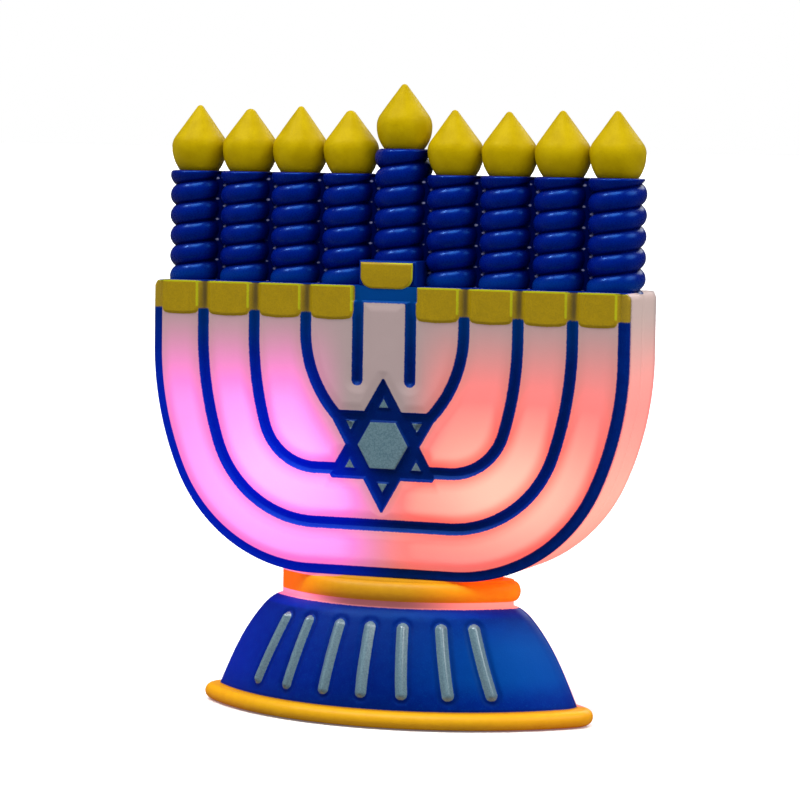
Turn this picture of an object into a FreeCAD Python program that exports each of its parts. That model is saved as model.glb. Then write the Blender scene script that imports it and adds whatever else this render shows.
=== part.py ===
"""Light-up table menorah: two soft vinyl half shells over a battery light module.

Origin: centre of the resting face, on the seam plane between the two half shells.
+X to the right, +Y to the back, +Z up, millimetres.
"""

import FreeCAD, Part
import math
import os

import Sketcher
from FreeCAD import Placement, Rotation, Vector

doc = FreeCAD.newDocument("Menorah")
sheet = doc.addObject("Spreadsheet::Sheet", "Sizes")

SIZES = [
    # bowl with its arms
    ("BowlHalfWidth", 45.1, "half width of the bowl at its top"),
    ("BowlTop", 77.1, "height of the ledge that the candles stand on"),
    ("BowlBottom", 25.2, "height of the bowl's flat bottom"),
    ("BowlHalfDepth", 8.9, "seam plane to the face of the arms"),
    ("BowlShoulder", 65.4, "height where the bowl's straight side ends"),
    ("BowlSideRadius", 56.4, "radius of the bowl's upper side curve"),
    ("BowlSideAngle", 24.0, "angle of the upper side curve, degrees"),
    ("RearEdgeRadius", 1.2, "rounding of the bowl's rear edge"),
    ("FrontEdgeRadius", 0.4, "rounding of the bowl's front edges"),
    ("ReliefDepth", 0.9, "depth of the step and grooves around the arms"),
    ("RabbetWidth", 1.7, "width of the step around the arms"),
    ("GrooveRadius", 0.9, "radius of the round grooves between the arms"),
    ("ArmPitch", 10.0, "spacing of the candles and their arms"),
    ("GrooveShoulder", 68.2, "height where the two outer grooves start to curve"),
    ("InnerGrooveShoulder", 69.1, "height where the inner groove starts to curve"),
    ("OuterGrooveRadius", 63.5, "upper radius of the outermost groove"),
    ("OuterGrooveAngle", 18.2, "angle of that radius, degrees"),
    ("OuterGrooveBottom", 34.6, "height of the outermost groove's flat"),
    ("MiddleGrooveRadius", 58.7, "upper radius of the middle groove"),
    ("MiddleGrooveAngle", 16.2, "angle of that radius, degrees"),
    ("MiddleGrooveBottom", 44.4, "height of the middle groove's flat"),
    ("InnerGrooveRadius", 21.7, "upper radius of the inner groove"),
    ("InnerGrooveAngle", 36.9, "angle of that radius, degrees"),
    ("InnerGrooveBottom", 54.9, "height of the inner groove's foot"),
    ("StemGrooveBottom", 60.4, "lower end of the two grooves beside the stem"),
    ("StemTop", 74.3, "height of the raised stem's square top"),
    # cups that the candles stand in
    ("CupHalfWidth", 3.9, "half width of the cup at the top of each arm"),
    ("EndCupCentre", 39.55, "seam centre to the middle of the two end cups"),
    ("EndCupHalfWidth", 3.45, "half width of the two end cups"),
    ("CupSideHeight", 5.1, "height of a cup's straight sides"),
    ("CupFootRadius", 11.0, "radius of a cup's curved lower edge"),
    ("CupRaise", 0.25, "how far a cup stands out of its arm"),
    ("TallCupHeight", 4.1, "height of the centre candle's cup"),
    ("TallCupHalfWidth", 4.7, "half width of that cup"),
    ("TallCupSideFoot", 1.85, "height where that cup's straight sides start"),
    ("TallCupFootHalfWidth", 2.8, "half width of its flat foot"),
    ("TallCupCornerRadius", 2.05, "radius of its lower corners"),
    ("TallCupReach", 8.2, "seam plane to the face of that cup"),
    # star
    ("StarCentre", 48.8, "height of the star's centre"),
    ("StarRadius", 11.9, "centre of the star to its points"),
    ("StarPanel", 4.9, "centre of the star to the corners of its hexagon"),
    ("StarTileReach", 7.3, "centre of the star to the centres of its small tiles"),
    ("StarTileRadius", 1.25, "centre of a small tile to its corners"),
    # candles and flames
    ("CandleRadius", 4.6, "mean radius of a candle's coil"),
    ("CandleThrow", 0.36, "offset of the coil's circle from the candle's axis"),
    ("CoilPitch", 3.7, "rise of the coil in one turn"),
    ("CandleRoot", 0.3, "how deep a candle's foot lies in the ledge"),
    ("CandleTop", 96.9, "height of the eight candles' tops"),
    ("TallCandleTop", 101.4, "height of the centre candle's top"),
    ("FlameFoot", 3.6, "radius of a flame's foot"),
    ("FlameRadius", 4.85, "largest radius of a flame"),
    ("FlameBulge", 4.2, "height of the largest radius above the foot"),
    ("FlameHeight", 11.9, "height of a flame"),
    ("FlameTipRadius", 0.7, "radius of the rounded tip"),
    ("FlameTipAngle", 62.0, "half angle of the rounded tip, degrees"),
    ("FlameLowerRadius", 9.0, "radius of the flame's lower curve"),
    ("FlameUpperRadius", 26.0, "radius of the flame's upper curve"),
    # base
    ("RimHalfWidth", 37.2, "half width of the base rim"),
    ("RimHalfDepth", 19.4, "half depth of the base rim"),
    ("RimHeight", 2.9, "thickness of the base rim"),
    ("RimEdge", 1.4, "rounding of the rim"),
    ("DomeFootWidth", 34.3, "half width of the dome at the rim"),
    ("DomeFootDepth", 17.9, "half depth of the dome at the rim"),
    ("DomeWaistHeight", 11.0, "height of the dome's second section"),
    ("DomeWaistWidth", 30.6, "half width there"),
    ("DomeWaistDepth", 16.0, "half depth there"),
    ("DomeShoulderHeight", 17.0, "height of the dome's third section"),
    ("DomeShoulderWidth", 26.7, "half width there"),
    ("DomeShoulderDepth", 13.4, "half depth there"),
    ("DomeTopHeight", 20.4, "height of the dome's top"),
    ("DomeTopWidth", 23.6, "half width there"),
    ("DomeTopDepth", 11.7, "half depth there"),
    ("TipShare", 0.134, "tip radius of a plan outline over its half width"),
    ("NeckHalfWidth", 22.1, "half width of the neck"),
    ("NeckHalfDepth", 10.6, "half depth of the neck"),
    ("NeckTop", 27.0, "height that the neck reaches inside the bowl"),
    ("RingHalfWidth", 23.3, "half width of the ring around the neck"),
    ("RingHalfDepth", 12.0, "half depth of that ring"),
    ("RingFoot", 21.1, "height of the ring's underside"),
    ("RingHeight", 3.1, "thickness of the ring"),
    ("RingEdge", 0.9, "rounding of the ring"),
    ("RibRadius", 0.85, "radius of the ribs on the dome"),
    ("RibFoot", 6.0, "height of the ribs' lower ends"),
    ("RibHead", 17.0, "height of the ribs' upper ends"),
    ("RibSink", 0.35, "how deep a rib's centre line lies in the dome"),
    ("NearRibFoot", 7.4, "centre to the foot of the ribs next to the middle one"),
    ("NearRibHead", 6.0, "centre to the head of those ribs"),
    ("SideRibFoot", 15.3, "centre to the foot of the next ribs"),
    ("SideRibHead", 12.6, "centre to the head of those ribs"),
    ("FarRibFoot", 22.2, "centre to the foot of the outermost ribs"),
    ("FarRibHead", 17.9, "centre to the head of those ribs"),
    # inside of the shells
    ("Wall", 1.8, "thickness of the vinyl wall"),
    ("MouthHalfWidth", 32.0, "half width of the opening in the base"),
    ("MouthHalfDepth", 15.3, "half depth of that opening"),
    ("LipReach", 0.5, "depth of the snap groove around the opening"),
    ("LipFoot", 1.3, "height of the snap lip's underside"),
    ("LipHeight", 0.8, "thickness of the snap lip"),
    ("Fit", 0.05, "gap between parts that fit together"),
    # light module
    ("FloorFoot", 0.6, "height of the plug's underside above the table"),
    ("FloorTop", 3.6, "height of the plug's floor"),
    ("CellRadius", 5.8, "radius of an LR44 button cell"),
    ("CellLength", 5.4, "thickness of an LR44 button cell"),
    ("CellCentre", 8.5, "height of the cells' axis"),
    ("CellCapRadius", 4.2, "radius of a cell's raised cap"),
    ("CellCapHeight", 0.75, "height of that cap"),
    ("CellShoulder", 1.1, "face of the cap to where the can is full size"),
    ("BayHalfLength", 10.2, "half length of the battery bay"),
    ("BayHalfWidth", 5.95, "half width of the battery bay"),
    ("BayTop", 14.4, "height of the bay's ceiling"),
    ("BayWall", 1.2, "thickness of the bay's walls"),
    ("ContactThickness", 0.3, "thickness of the contact plates"),
    ("ContactHalfWidth", 4.0, "half width of the contact plates"),
    ("TabHalfWidth", 1.2, "half width of the solder tabs"),
    ("TabTop", 17.0, "height of the solder tabs' ends"),
    ("DoorHalfLength", 17.2, "half length of the battery door"),
    ("DoorHalfWidth", 7.3, "half width of the battery door"),
    ("DoorThickness", 1.8, "thickness of the battery door"),
    ("DoorScrewReach", 14.4, "centre to the door screws"),
    ("ScrewRadius", 1.0, "radius of the screws' threads"),
    ("ScrewHeadRadius", 1.9, "radius of the screws' heads"),
    ("ScrewHeadHeight", 1.1, "thickness of the screws' heads"),
    ("ScrewPointLength", 0.6, "length of the screws' tapered points"),
    ("ScrewPointRadius", 0.2, "radius of the screws' blunt tips"),
    ("ScrewSlotReach", 1.25, "half length of a cross slot"),
    ("ScrewSlotHalfWidth", 0.23, "half width of a cross slot"),
    ("ScrewSlotDepth", 0.65, "depth of a cross slot"),
    ("ScrewHoleSpare", 0.2, "how far a screw hole runs past the point"),
    ("DoorScrewTop", 7.6, "height of the door screws' points"),
    ("BossRadius", 2.3, "radius of the screw bosses"),
    ("BossRoof", 0.8, "height of the left boss above its screw's point"),
    ("BoardFoot", 11.6, "height of the circuit board's underside"),
    ("BoardThickness", 1.0, "thickness of the circuit board"),
    ("BoardStart", 12.1, "left edge of the circuit board"),
    ("BoardEnd", 25.2, "right edge of the circuit board"),
    ("BoardHalfWidth", 3.6, "half width of the circuit board"),
    ("BoardScrewFoot", 9.0, "height of the board screw's point"),
    ("BlobRadius", 2.3, "radius of the resin blob on the board"),
    ("BlobHeight", 0.9, "height of that blob"),
    ("BlobPlace", 20.2, "centre to the blob's axis"),
    ("ButtonPlace", 21.6, "centre to the push button's axis"),
    ("ButtonRadius", 3.2, "radius of the push button"),
    ("ButtonFlange", 3.7, "radius of the flange that keeps it in"),
    ("ButtonFoot", 0.9, "height of the button's face"),
    ("ButtonFlangeHeight", 1.0, "thickness of that flange"),
    ("ButtonEdge", 0.4, "bevel around the button's face"),
    ("SwitchHalfWidth", 3.5, "half width of the latching switch"),
    ("SwitchFoot", 6.4, "height of the switch's underside"),
    ("PlungerHalfWidth", 1.2, "half width of the switch's plunger"),
    ("PlungerFoot", 3.1, "height of the plunger's lower end"),
    ("PlungerHeadFoot", 7.3, "height of the plunger's head"),
    ("PlungerHeadRadius", 2.6, "radius of the plunger's head"),
    ("PlungerHeadHeight", 1.0, "thickness of the plunger's head"),
    ("SwitchBoreRadius", 2.9, "radius of the switch's inside"),
    ("SwitchFloor", 0.8, "thickness of the switch's lower wall"),
    ("SwitchWire", 0.3, "wire of the switch's return spring"),
    ("SwitchCoilRadius", 1.8, "mean radius of that spring"),
    ("ContactWire", 0.5, "wire of the battery spring"),
    ("ContactCoilRadius", 3.0, "largest mean radius of that spring"),
    ("ContactCoilTip", 1.6, "smallest mean radius of that spring"),
    # light mast
    ("MastFootLength", 12.0, "length of the mast's foot plate"),
    ("MastFootWidth", 8.0, "width of the mast's foot plate"),
    ("MastFootHeight", 1.2, "thickness of the mast's foot plate"),
    ("MastWidth", 5.0, "width of the mast's post"),
    ("MastDepth", 3.0, "depth of the mast's post"),
    ("MastCrossbar", 39.4, "height of the crossbar's middle"),
    ("CrossbarHalfLength", 12.0, "half length of the crossbar"),
    ("CrossbarHeight", 3.0, "height of the crossbar"),
    ("SocketRadius", 2.6, "outer radius of the sockets for the lights"),
    ("SocketLength", 2.6, "length of those sockets"),
    ("LightRadius", 1.5, "radius of a light"),
    ("LightFlange", 1.9, "radius of a light's flange"),
    ("LightFlangeLength", 1.0, "thickness of a light's flange"),
    ("LightLength", 4.2, "length of a light's barrel in front of its flange"),
    ("WireRadius", 0.45, "radius of an insulated wire"),
    ("WireBend", 0.75, "distance from a wire's corner to the start of its bend"),
    ("WireGap", 0.03, "gap between a wire and what it lies on"),
    ("MagentaWireLevel", 17.6, "height of the magenta light's wires over the battery bay"),
    ("MagentaWireLane", 2.45, "seam plane to those wires"),
    ("MagentaWireDrop", 13.05, "centre to where those wires go down to the board"),
    ("RedWireLevel", 19.0, "height of the red light's wires over the battery bay"),
    ("RedWireLane", 3.4, "seam plane to those wires"),
    ("RedWireDrop", 14.1, "centre to where those wires go down to the board"),
    ("BatteryWireDrop", 12.6, "centre to where the battery wires go down to the board"),
    ("BatteryWireLanding", 1.55, "seam plane to the battery wires' ends on the board"),
    ("SolderJointPlace", 1.0, "middle of a solder tab to its wire"),
    ("PositiveWireLevel", 16.4, "height of the positive battery wire"),
    ("NegativeWireLevel", 16.1, "height of the negative battery wire over the bay"),
    ("NegativeWireLane", 4.8, "seam plane to that wire beside the mast's foot"),
    ("NegativeWireTurn", 1.6, "end plates to where that wire turns aside"),
    ("ResistorLength", 2.0, "length of a chip resistor"),
    ("ResistorWidth", 1.2, "width of a chip resistor"),
    ("ResistorHeight", 0.55, "thickness of a chip resistor"),
    ("ResistorMargin", 0.3, "distance of the resistors from the board's end and middle"),
]


def fill_sheet():
    """Write every driving dimension into the sheet, one row each."""
    for row, (alias, value, note) in enumerate(SIZES, start=1):
        sheet.set(f"A{row}", note)
        sheet.set(f"B{row}", str(value))
        sheet.setAlias(f"B{row}", alias)
    doc.recompute()


def sized(expression):
    """An expression written with bare aliases, as the document's objects need it."""
    words = []
    word = ""
    for letter in expression + " ":
        if letter.isalnum() or letter == "_":
            word += letter
            continue
        words.append("Sizes." + word if word in ALIASES else word)
        words.append(letter)
        word = ""
    return "".join(words).strip()


def number(expression):
    """Value of an expression over the sheet's aliases."""
    return float(sheet.evalExpression(sized(expression)))


ALIASES = {alias for alias, _, _ in SIZES}
fill_sheet()


# ---------------------------------------------------------------- sketch and feature helpers

SAME = 0.001  # positions closer than this are one position
NEAR = 0.2  # reach of the tests that pick edges by their place


def new_body(label):
    body = doc.addObject("PartDesign::Body", label)
    body.Label = label
    return body


def sketch_on(body, name, role, lift="0"):
    """Empty sketch on one of the body's origin planes, lifted along the plane's normal."""
    sketch = body.newObject("Sketcher::SketchObject", name)
    plane = next(item for item in body.Origin.OriginFeatures if item.Role == role)
    sketch.AttachmentSupport = (plane, [""])
    sketch.MapMode = "FlatFace"
    sketch.setExpression("AttachmentOffset.Base.z", sized(lift))
    return sketch


def bind(sketch, kind, *where, to):
    """Add a dimension to a sketch and drive it from the sheet."""
    index = sketch.addConstraint(Sketcher.Constraint(kind, *where, number(to)))
    sketch.setExpression(f"Constraints[{index}]", sized(to))


def pin(sketch, curve, end, across, up):
    """Fix one end of a sketch curve at coordinates given as expressions."""
    bind(sketch, "DistanceX", -1, 1, curve, end, to=across)
    bind(sketch, "DistanceY", -1, 1, curve, end, to=up)


def arc_between(start, finish, radius, turn):
    """Minor arc from start to finish; turn is 1 for a left-hand bend and -1 for a right-hand one."""
    chord = finish - start
    rise = math.sqrt(max(radius**2 - (chord.Length / 2) ** 2, 0))
    left = Vector(-chord.y, chord.x, 0).normalize()
    middle = start + chord * 0.5 + left * turn * (rise - radius)
    return Part.Arc(start, middle, finish)


def draw(sketch, steps, closed=True):
    """Chain of lines and arcs through corners (across, up) or (across, up, radius, turn).

    A step with a radius is reached by an arc; every coordinate and radius is an expression.
    """
    corners = [Vector(number(step[0]), number(step[1]), 0) for step in steps]
    count = len(steps) if closed else len(steps) - 1
    first_end, last_end = {}, {}
    for i in range(count):
        j = (i + 1) % len(steps)
        step = steps[j]
        if len(step) == 2:
            curve = sketch.addGeometry(Part.LineSegment(corners[i], corners[j]), False)
            start_end, finish_end = 1, 2
        else:
            arc = arc_between(corners[i], corners[j], number(step[2]), step[3])
            curve = sketch.addGeometry(arc, False)
            start_point = sketch.getPoint(curve, 1)
            forward = (start_point - corners[i]).Length < (start_point - corners[j]).Length
            start_end, finish_end = (1, 2) if forward else (2, 1)
        first_end[i] = (curve, start_end)
        last_end[j] = (curve, finish_end)
    for i, step in enumerate(steps):
        ends = [table[i] for table in (first_end, last_end) if i in table]
        pin(sketch, *ends[0], step[0], step[1])
        if len(ends) == 2:
            sketch.addConstraint(Sketcher.Constraint("Coincident", *ends[0], *ends[1]))
    for j, (curve, _) in last_end.items():
        if len(steps[j]) == 4:
            bind(sketch, "Radius", curve, to=steps[j][2])


def draw_circle(sketch, across, up, radius):
    centre = Vector(number(across), number(up), 0)
    circle = Part.Circle(centre, Vector(0, 0, 1), number(radius))
    curve = sketch.addGeometry(circle, False)
    pin(sketch, curve, 3, across, up)
    bind(sketch, "Radius", curve, to=radius)


def draw_box(sketch, left, right, low, high):
    draw(sketch, [(left, low), (right, low), (right, high), (left, high)])


def feature(body, kind, name, sketch, **settings):
    made = body.newObject("PartDesign::" + kind, name)
    made.Profile = sketch
    for key, value in settings.items():
        setattr(made, key, value)
    return made


def pad(body, name, sketch, length, reverse=False, both=False):
    made = feature(body, "Pad", name, sketch, Reversed=reverse, Midplane=both)
    made.setExpression("Length", sized(length))
    doc.recompute()
    return made


def checked_cut(body, made):
    """A cut that removes nothing points the wrong way: say so."""
    before = body.Shape.Volume
    doc.recompute()
    if not made.Shape.Volume < before - 1e-6:
        raise RuntimeError(made.Name + " removes nothing")
    return made


def pocket(body, name, sketch, depth, reverse=False, both=False):
    made = feature(body, "Pocket", name, sketch, Reversed=reverse, Midplane=both)
    made.setExpression("Length", sized(depth))
    return checked_cut(body, made)


def revolve(body, name, sketch, axis, angle=360.0):
    made = feature(body, "Revolution", name, sketch, Angle=angle)
    made.ReferenceAxis = (sketch, [axis])
    doc.recompute()
    return made


def loft(body, name, sketches):
    made = feature(body, "AdditiveLoft", name, sketches[0], Sections=sketches[1:])
    doc.recompute()
    return made


def fillet(body, base, name, radius, chosen):
    """Round the edges of a feature that the test picks out."""
    doc.recompute()
    names = [f"Edge{i}" for i, edge in enumerate(base.Shape.Edges, start=1) if chosen(edge)]
    if not names:
        raise RuntimeError(name + " finds no edge")
    made = body.newObject("PartDesign::Fillet", name)
    made.Base = (base, names)
    made.setExpression("Radius", sized(radius))
    doc.recompute()
    return made


# ---------------------------------------------------------------- vinyl shells

FRONT, REAR = -1, 1


def bowl_curve(half_width, shoulder, radius, angle, bottom):
    """Knee, foot and lower radius of a curve: straight side, slow arc, quick arc, flat bottom."""
    knee_x = f"({half_width} - {radius} * (1 - cos({angle})))"
    knee_z = f"({shoulder} - {radius} * sin({angle}))"
    lower = f"(({knee_z} - ({bottom})) / (1 - sin({angle})))"
    foot_x = f"({knee_x} - {lower} * cos({angle}))"
    return knee_x, knee_z, foot_x, lower


def bowl_outline(gap, top):
    """Bowl seen from the front, drawn a gap inside its outer edge."""
    width = f"(BowlHalfWidth - {gap})"
    radius = f"(BowlSideRadius - {gap})"
    bottom = f"(BowlBottom + {gap})"
    knee_x, knee_z, foot_x, lower = bowl_curve(width, "BowlShoulder", radius, "BowlSideAngle", bottom)
    return [
        (f"-{width}", top),
        (width, top),
        (width, "BowlShoulder"),
        (knee_x, knee_z, radius, -1),
        (foot_x, bottom, lower, -1),
        (f"-{foot_x}", bottom),
        (f"-{knee_x}", knee_z, lower, -1),
        (f"-{width}", "BowlShoulder", radius, -1),
    ]


def half_plan(half_width, half_depth, side):
    """Half of a lens-shaped plan with rounded tips, on one side of the seam plane."""
    tip = f"(({half_width}) * TipShare)"
    reach = f"(({half_width}) - {tip})"
    bow = f"(({reach}^2 + ({half_depth})^2 - {tip}^2) / (2 * (({half_depth}) - {tip})))"
    join_x = f"({reach} * {bow} / ({bow} - {tip}))"
    join_y = f"({side} * ({bow} - ({half_depth})) * {tip} / ({bow} - {tip}))"
    turn = -side
    return [
        (f"-({half_width})", "0"),
        (f"-{join_x}", join_y, tip, turn),
        (join_x, join_y, bow, turn),
        (f"({half_width})", "0", tip, turn),
    ]


def plan_sketch(body, name, height, half_width, half_depth, side):
    sketch = sketch_on(body, name, "XY_Plane", height)
    draw(sketch, half_plan(half_width, half_depth, side))
    return sketch


def outer_edges(low, high, half_width, half_depth):
    """Test for the curved outer edges of a plan-shaped plate at its two heights."""
    def chosen(edge):
        box = edge.BoundBox
        level = any(abs(box.ZMin - z) < SAME and abs(box.ZMax - z) < SAME for z in (low, high))
        reach_x = max(abs(box.XMin), abs(box.XMax))
        reach_y = max(abs(box.YMin), abs(box.YMax))
        outside = reach_x > half_width - NEAR or reach_y > half_depth - NEAR
        return level and outside and reach_y > NEAR
    return chosen


def base_form(label, side):
    """Rim, dome, neck and neck ring, one half of each."""
    body = new_body(label)
    rim = plan_sketch(body, "rim_plan", "0", "RimHalfWidth", "RimHalfDepth", side)
    plate = pad(body, "rim", rim, "RimHeight")
    edges = outer_edges(0, number("RimHeight"), number("RimHalfWidth"), number("RimHalfDepth"))
    fillet(body, plate, "rim_edge", "RimEdge", edges)
    levels = [
        ("RimHeight", "DomeFootWidth", "DomeFootDepth"),
        ("DomeWaistHeight", "DomeWaistWidth", "DomeWaistDepth"),
        ("DomeShoulderHeight", "DomeShoulderWidth", "DomeShoulderDepth"),
        ("DomeTopHeight", "DomeTopWidth", "DomeTopDepth"),
    ]
    plans = [
        plan_sketch(body, f"dome_plan_{i}", height, width, depth, side)
        for i, (height, width, depth) in enumerate(levels)
    ]
    loft(body, "dome", plans)
    neck = plan_sketch(body, "neck_plan", "DomeTopHeight - 1", "NeckHalfWidth", "NeckHalfDepth", side)
    pad(body, "neck", neck, "NeckTop - DomeTopHeight + 1")
    ring = plan_sketch(body, "ring_plan", "RingFoot", "RingHalfWidth", "RingHalfDepth", side)
    band = pad(body, "ring", ring, "RingHeight")
    low = number("RingFoot")
    edges = outer_edges(low, low + number("RingHeight"), number("RingHalfWidth"), number("RingHalfDepth"))
    fillet(body, band, "ring_edge", "RingEdge", edges)
    return body.Shape


def inside_form(label, side):
    """Solid that fills the half shell's inside: mouth, snap groove, dome, neck and bowl."""
    body = new_body(label)
    mouth = plan_sketch(body, "mouth_plan", "-1", "MouthHalfWidth", "MouthHalfDepth", side)
    pad(body, "mouth", mouth, "FloorTop + 1")
    width, depth = "MouthHalfWidth + LipReach + Fit", "MouthHalfDepth + LipReach + Fit"
    groove_plan = plan_sketch(body, "snap_plan", "LipFoot - Fit", width, depth, side)
    pad(body, "snap_groove", groove_plan, "LipHeight + 2 * Fit")
    levels = [
        ("RimHeight", "DomeFootWidth - Wall", "DomeFootDepth - Wall"),
        ("DomeWaistHeight", "DomeWaistWidth - Wall", "DomeWaistDepth - Wall"),
        ("DomeShoulderHeight", "DomeShoulderWidth - Wall", "DomeShoulderDepth - Wall"),
        ("DomeTopHeight - Wall", "DomeTopWidth - Wall / 2", "DomeTopDepth - Wall / 2"),
    ]
    plans = [
        plan_sketch(body, f"inside_plan_{i}", height, width, depth, side)
        for i, (height, width, depth) in enumerate(levels)
    ]
    loft(body, "dome_inside", plans)
    width, depth = "NeckHalfWidth - Wall", "NeckHalfDepth - Wall"
    throat = plan_sketch(body, "throat_plan", "DomeTopHeight - 2 * Wall", width, depth, side)
    pad(body, "throat", throat, "NeckTop - DomeTopHeight + 3 * Wall")
    room = sketch_on(body, "bowl_inside_outline", "XZ_Plane")
    draw(room, bowl_outline("Wall", "BowlTop - Wall"))
    pad(body, "bowl_inside", room, "BowlHalfDepth - ReliefDepth - Wall", reverse=side == REAR)
    return body.Shape


def add_front_bowl(body):
    """Front half of the bowl: a thick plate and the raised plate of the arms on it."""
    outline = sketch_on(body, "bowl_outline", "XZ_Plane")
    draw(outline, bowl_outline("0", "BowlTop"))
    pad(body, "bowl", outline, "BowlHalfDepth - ReliefDepth")
    arms = sketch_on(body, "arms_outline", "XZ_Plane", "BowlHalfDepth - ReliefDepth")
    draw(arms, bowl_outline("RabbetWidth", "BowlTop"))
    plate = pad(body, "arms", arms, "ReliefDepth")
    face = -number("BowlHalfDepth")

    def front_rim(edge):
        box = edge.BoundBox
        on_face = abs(box.YMin - face) < SAME and abs(box.YMax - face) < SAME
        return on_face and box.ZMin < number("BowlTop") - NEAR

    fillet(body, plate, "arms_edge", "FrontEdgeRadius", front_rim)


def add_rear_bowl(body):
    outline = sketch_on(body, "bowl_outline", "XZ_Plane")
    draw(outline, bowl_outline("0", "BowlTop"))
    plate = pad(body, "bowl", outline, "BowlHalfDepth", reverse=True)
    face = number("BowlHalfDepth")

    def rear_rim(edge):
        return abs(edge.BoundBox.YMin - face) < SAME

    fillet(body, plate, "bowl_edge", "RearEdgeRadius", rear_rim)


def groove(body, name, steps):
    """Round groove along an open path on the face of the arms."""
    path = sketch_on(body, name + "_path", "XZ_Plane", "BowlHalfDepth")
    draw(path, steps, closed=False)
    mouth = sketch_on(body, name + "_mouth", "XY_Plane", steps[0][1])
    draw_circle(mouth, steps[0][0], "-BowlHalfDepth", "GrooveRadius")
    made = feature(body, "SubtractivePipe", name, mouth, Spine=(path, []))
    checked_cut(body, made)


def cut_grooves(body):
    """Full outer groove, a pair into the star's lower bar, a pair into its upper bar, a pair by the stem."""
    over = "(BowlTop + 1)"
    width = "(3.5 * ArmPitch)"
    knee_x, knee_z, foot_x, lower = bowl_curve(
        width, "GrooveShoulder", "OuterGrooveRadius", "OuterGrooveAngle", "OuterGrooveBottom"
    )
    groove(body, "outer_groove", [
        (f"-{width}", over),
        (f"-{width}", "GrooveShoulder"),
        (f"-{knee_x}", knee_z, "OuterGrooveRadius", 1),
        (f"-{foot_x}", "OuterGrooveBottom", lower, 1),
        (foot_x, "OuterGrooveBottom"),
        (knee_x, knee_z, lower, 1),
        (width, "GrooveShoulder", "OuterGrooveRadius", 1),
        (width, over),
    ])
    pairs = [
        ("middle", "(2.5 * ArmPitch)", "GrooveShoulder", "(StarRadius * 0.75)"),
        ("inner", "(1.5 * ArmPitch)", "InnerGrooveShoulder", "(StarRadius * 0.6)"),
    ]
    for kind, width, shoulder, finish in pairs:
        title = kind.capitalize() + "Groove"
        radius, bottom = title + "Radius", title + "Bottom"
        knee_x, knee_z, foot_x, lower = bowl_curve(width, shoulder, radius, title + "Angle", bottom)
        for hand, sign in (("left", "-"), ("right", "")):
            turn = 1 if hand == "left" else -1
            groove(body, f"{kind}_groove_{hand}", [
                (sign + width, over),
                (sign + width, shoulder),
                (sign + knee_x, knee_z, radius, turn),
                (sign + foot_x, bottom, lower, turn),
                (sign + finish, bottom),
            ])
    for hand, sign in (("left", "-"), ("right", "")):
        side = sign + "(ArmPitch / 2)"
        groove(body, f"stem_groove_{hand}", [(side, over), (side, "StemGrooveBottom")])


def ring_of_corners(radius, centre_x, centre_z, count, start):
    """Corners evenly round a centre, the first at a start angle in degrees."""
    step = 360 // count
    return [
        (
            f"({centre_x} + {radius} * cos({start + i * step}))",
            f"({centre_z} + {radius} * sin({start + i * step}))",
        )
        for i in range(count)
    ]


def cut_star(body):
    """Six-pointed star sunk into the arms, with a raised hexagon and a raised tile in each point."""
    star = sketch_on(body, "star_outline", "XZ_Plane", "BowlHalfDepth")
    points = ring_of_corners("StarRadius", "0", "StarCentre", 6, 30)
    waists = ring_of_corners("(StarRadius / sqrt(3))", "0", "StarCentre", 6, 60)
    draw(star, [corner for pair in zip(points, waists) for corner in pair])
    draw(star, ring_of_corners("StarPanel", "0", "StarCentre", 6, 0))
    for i in range(6):
        angle = 30 + 60 * i
        tile_x = f"(StarTileReach * cos({angle}))"
        tile_z = f"(StarCentre + StarTileReach * sin({angle}))"
        draw(star, ring_of_corners("StarTileRadius", tile_x, tile_z, 3, angle))
    pocket(body, "star", star, "ReliefDepth")


def add_cups(body):
    """Cups at the tops of the arms, and the taller block cup in front of the centre candle."""
    band = sketch_on(body, "stem_top_outline", "XZ_Plane", "BowlHalfDepth")
    draw_box(band, "-ArmPitch / 2", "ArmPitch / 2", "StemTop", "BowlTop + 1")
    pocket(body, "stem_top", band, "ReliefDepth")
    cups = sketch_on(body, "cup_outlines", "XZ_Plane", "BowlHalfDepth - CupRaise")
    places = [(f"({k} * ArmPitch)", "CupHalfWidth") for k in (1, 2, 3)]
    places.append(("EndCupCentre", "EndCupHalfWidth"))
    for centre, half in places:
        for sign in ("-", ""):
            left, right = f"({sign}{centre} - {half})", f"({sign}{centre} + {half})"
            corner = "(BowlTop - CupSideHeight)"
            draw(cups, [
                (left, "BowlTop"),
                (left, corner),
                (right, corner, "CupFootRadius", 1),
                (right, "BowlTop"),
            ])
    pad(body, "cups", cups, "2 * CupRaise")
    tall = sketch_on(body, "tall_cup_outline", "XZ_Plane", "CandleRadius / 2")
    low, high = "(BowlTop - ReliefDepth / 4)", "(BowlTop + TallCupHeight)"
    corner = "(BowlTop + TallCupSideFoot)"
    draw(tall, [
        ("-TallCupHalfWidth", high),
        ("-TallCupHalfWidth", corner),
        ("-TallCupFootHalfWidth", low, "TallCupCornerRadius", 1),
        ("TallCupFootHalfWidth", low),
        ("TallCupHalfWidth", corner, "TallCupCornerRadius", 1),
        ("TallCupHalfWidth", high),
    ])
    pad(body, "tall_cup", tall, "TallCupReach - CandleRadius / 2")


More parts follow.
